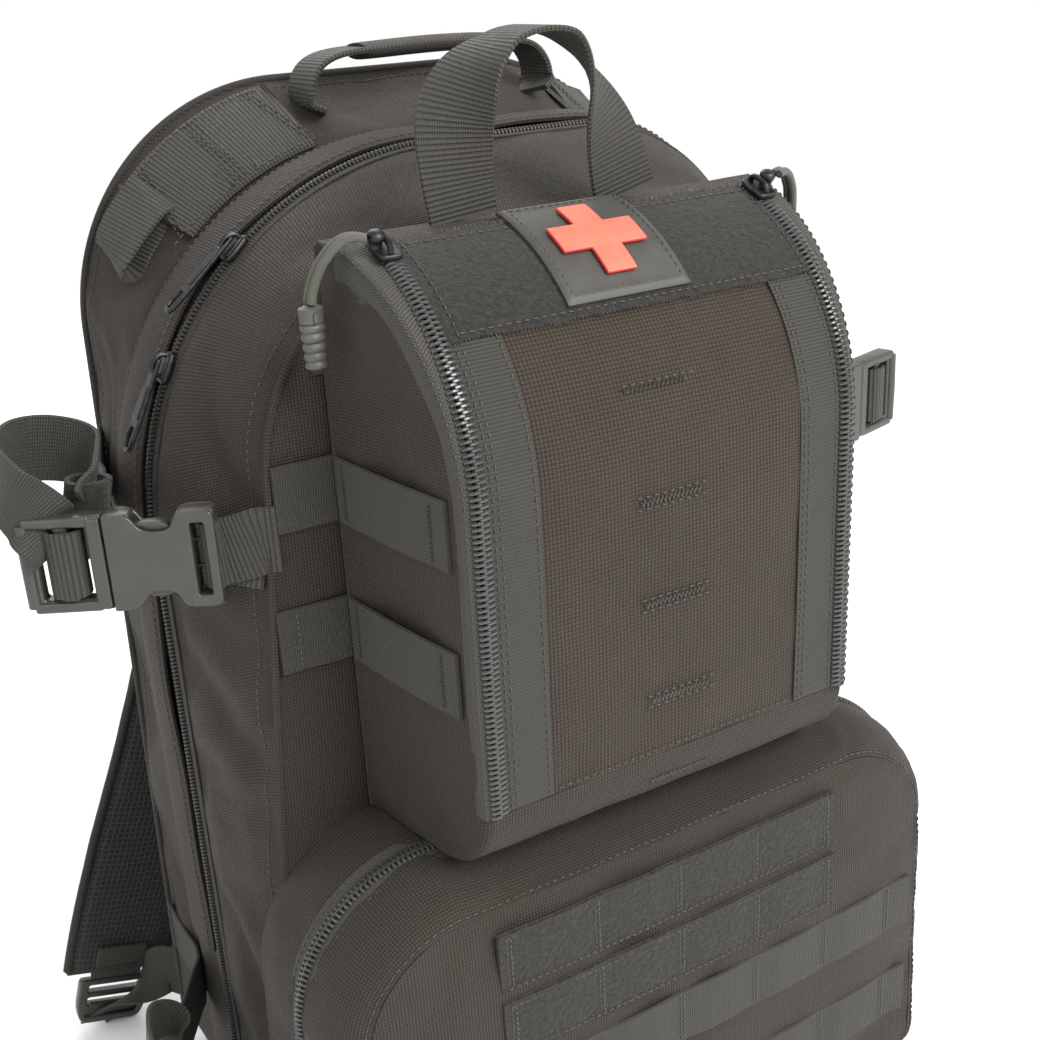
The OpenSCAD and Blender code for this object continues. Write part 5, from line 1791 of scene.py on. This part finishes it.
def patch():
    """Moulded rubber patch with a bevelled edge, a dashed border and a plain raised cross."""
    half = PATCH_SIZE / 2
    base = patch_grid(4.0, half, half, 41, 41)
    n = normals(base)
    inward = np.minimum(np.arange(41), 40 - np.arange(41))
    rim = np.minimum.outer(inward, inward)
    drop = np.select([rim == 0, rim == 1, rim == 2, rim == 3], [1.0, 0.25, 0.0, 0.35], 0.45)
    outer = base - n * drop[..., None]
    form = slab(Form(), outer, base - n * 2.1)
    piece = form.make("patch_rubber_base", "patch", M["patch"], "patch_rubber", sharp=50)
    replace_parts(piece, "patch_base")
    row = patch_grid(3.95, half - 2.7, half - 2.7, 41, 41)
    for path in (row[:, 0], row[:, -1], row[0], row[-1]):
        sew("patch", path, n[20, 20], "thread", pitch=3.2, length=2.1, r=0.28)
    arm, bar = 17.0, 6.0
    k = np.unique(np.r_[np.linspace(-arm, -bar, 9), np.linspace(-bar, bar, 9), np.linspace(bar, arm, 9)])
    x, h = np.meshgrid(k, k, indexing="ij")
    y, z, c, s = profile_point(at_angle(PATCH_A) + h, 0)
    top = np.stack([x + PATCH_X, y - 5.4 * c, z + 5.4 * s], 2)
    n = np.stack([0 * c, -c, s], 2)
    within = np.abs((k[:-1] + k[1:]) / 2) < bar
    keep = within[:, None] | within[None]
    form = slab(Form(), top, top - n * 1.5, keep=keep)
    piece = form.make("patch_cross_red", "patch", M["red"], "patch_red", sharp=30)
    bevel = piece.modifiers.new("soft edge", "BEVEL")
    bevel.width = 0.5 * MM
    bevel.segments = 2
    bevel.limit_method = "ANGLE"
    # The cross's side walls take a darker red: painted shade on the sides of the raised cross.
    piece.data.materials.append(M["red side shade"])
    tilt = math.radians(PATCH_A)
    outward = Vector((0, -math.cos(tilt), math.sin(tilt)))
    side_faces = [p for p in piece.data.polygons if abs(p.normal @ outward) < 0.5]
    for p in side_faces:
        p.material_index = 1
    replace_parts(piece, "patch_cross")


# ---- Lower pocket ----

FACE_RISE = 4.0


def pocket_face_y(x, z):
    """Depth of the lower pocket's crowned face."""
    points = pocket_outline(-12)
    centre, half = (points.min(0) + points.max(0)) / 2, (points.max(0) - points.min(0)) / 2
    away = np.abs((np.array([x, z]) - centre) / half)
    return POCKET_Y - FACE_RISE * float(np.prod(np.clip(1 - away ** 2.5, 0, 1)))


def lower_pocket():
    points = pocket_outline()
    t = np.linspace(0, 1, 7)[None, :, None]
    wall = at_y(points, FRONT_Y)[:, None] * (1 - t) + at_y(points, POCKET_ZIP_Y + 0.4)[:, None] * t
    settled = drape(wall, edges_of(wall, False), 0.02, 0.8, 2.0, closed=True, seed=21.0)
    piece = shell(Form(), settled, 1.8, closed=True).make("pocket_wall", FRONT, M["shell"], "shell_fabric")
    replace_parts(piece, "lower_pocket_wall")
    columns = []
    for q in np.linspace(0, 1, 10):
        e = -12 * (1 - math.cos(q * math.pi / 2))
        y = POCKET_ZIP_Y - 0.4 - (POCKET_ZIP_Y - 0.4 - POCKET_Y) * math.sin(q * math.pi / 2)
        columns.append(at_y(pocket_outline(e), y))
    rim = np.stack(columns, 1)
    settled = drape(rim, edges_of(rim, False), 0.03, 1.2, 3.2, closed=True, seed=23.0)
    piece = shell(Form(), settled, 1.8, closed=True).make("pocket_rim", "lower_panel", M["shell"],
                                                          "shell_fabric")
    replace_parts(piece, "lower_panel")
    sew_on("lower_panel", settled, [-2], 0.15, closed=True)
    grid, uv = face(pocket_outline(-12), POCKET_Y, 26, FACE_RISE)
    pinned = np.zeros(grid.shape[:2], bool)
    pinned[:, 0] = pinned[:, -3:] = True
    grid = drape(grid, pinned, 0.012, 0.3, 1.6, closed=True, seed=25.0)
    piece = shell(Form(), grid, 1.8, closed=True, uv=uv).make("pocket_front", "lower_panel", M["shell"],
                                                              "shell_fabric")
    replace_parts(piece, "lower_panel")


def pocket_zipper():
    points = pocket_outline(0.9)
    run = run_above(points, ZIP_LOW_Z)
    path = resample(at_y(points[run], POCKET_ZIP_Y), 700)
    out = -np.cross(unit(np.gradient(path, axis=0)), (0, 1, 0))
    for name, body, facing, node in (("wall", FRONT, 1, "lower_zipper_wall"),
                                     ("panel", "lower_panel", -1, "lower_zipper_panel")):
        reach = (9, 1.2) if facing > 0 else (-1.2, -9)
        start, end = (POCKET_ZIP_Y + r for r in reach)
        tape = lofted(run, pocket_outline(1.0), start, pocket_outline(0.9), end, 4)
        if facing < 0:
            sunk = np.linspace(0, -0.9, 5)[None, :, None]
            tape = tape + normals(tape) * sunk
        piece = shell(Form(), tape, 0.7).make(f"pocket_zip_tape_{name}", body, M["zip tape"], "zipper_coil")
        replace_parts(piece, node)
        sew_on(body, tape, [1 if facing > 0 else 3], 0.15)
        teeth = chain(Form(), path, (0, -facing, 0), out, 2.0, 3.2, 0.25 * facing)
        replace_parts(teeth.make(f"pocket_teeth_{name}", body, M["coil"], "zipper_coil"), node)


def pocket_rows():
    """Two rows of loop pile and two of webbing across the pocket, tacked down every 38 mm."""
    for z in STRIP_ROWS:
        tacks = [-76, -38, 0, 38, 76]
        webbing_row(f"loop_strip_{z}", "lower_panel", "lower_loop_strips", -80, 80, z + 1,
                    lambda x, height: pocket_face_y(x, height) - 0.6, tacks, 0.5, STRIP_H - 1.5, "loop",
                    "loop_fabric", 1.8)
        for edge in (3.0, STRIP_H - 3.0):
            row = np.array([(x, pocket_face_y(x, z + edge) - 2.9, z + edge)
                            for x in np.linspace(-78, 78, 60)])
            sew("lower_panel", row, (0, -1, 0), pitch=3.0)
    for z in POCKET_ROWS:
        tacks = [k * 38 for k in range(-3, 4)]
        webbing_row(f"row_lower_{z}", "lower_panel", "lower_molle_webbing", -128, 128, z,
                    lambda x, height: pocket_face_y(x, height) - 0.3, tacks, 1.0)


# ---- The room it stands in ----

def studio():
    floor_size = 4.0
    mesh = bpy.data.meshes.new("floor")
    s = floor_size / 2
    z = CAD_BOX[0][2]
    mesh.from_pydata([(-s, -s, z), (s, -s, z), (s, s, z), (-s, s, z)], [], [(0, 1, 2, 3)])
    floor = bpy.data.objects.new("floor", mesh)
    bpy.context.scene.collection.objects.link(floor)
    pale = Paint("pale floor")
    place = pale.space()
    tone = pale.blend(pale.noise(place, 0.004, 2.0), (0.86, 0.86, 0.86), (0.9, 0.9, 0.9))
    mesh.materials.append(pale.finish(tone, None, 0.9))
    world = bpy.data.worlds.new("world")
    world.use_nodes = True
    world.node_tree.nodes["Background"].inputs[0].default_value = (1, 1, 1, 1)
    world.node_tree.nodes["Background"].inputs[1].default_value = 1.0
    bpy.context.scene.world = world
    lights = (("key", (0.55, -1.6, 1.5), 1.0, 62), ("fill", (-1.6, -0.7, 1.3), 1.2, 9),
              ("rim", (0.4, 1.4, 1.6), 1.0, 14))
    for name, place, size, power in lights:
        light = bpy.data.lights.new(name, "AREA")
        light.size = size
        light.energy = power
        lamp = bpy.data.objects.new(name, light)
        lamp.location = place
        aim = Vector((0, -0.02, 0.25)) - Vector(place)
        lamp.rotation_euler = aim.to_track_quat("-Z", "Y").to_euler()
        bpy.context.scene.collection.objects.link(lamp)
    bpy.context.scene.view_settings.view_transform = "Standard"


def main():
    camera()
    for side in SIDES:
        pull_cord(side)
    main_compartment()
    main_zipper()
    storm_flap()
    shoulder_bands()
    top_handle()
    main_pulls()
    back_pads()
    for side in SIDES:
        shoulder_strap(side)
        ladder_lock(side)
    strap_runs()
    upper_webbing()
    pouch_body()
    pouch_panel()
    loop_field()
    pouch_zippers()
    pouch_straps()
    pouch_handle()
    pouch_sliders()
    patch()
    lower_pocket()
    pocket_zipper()
    pocket_rows()
    finish_sewing()
    studio()


main()
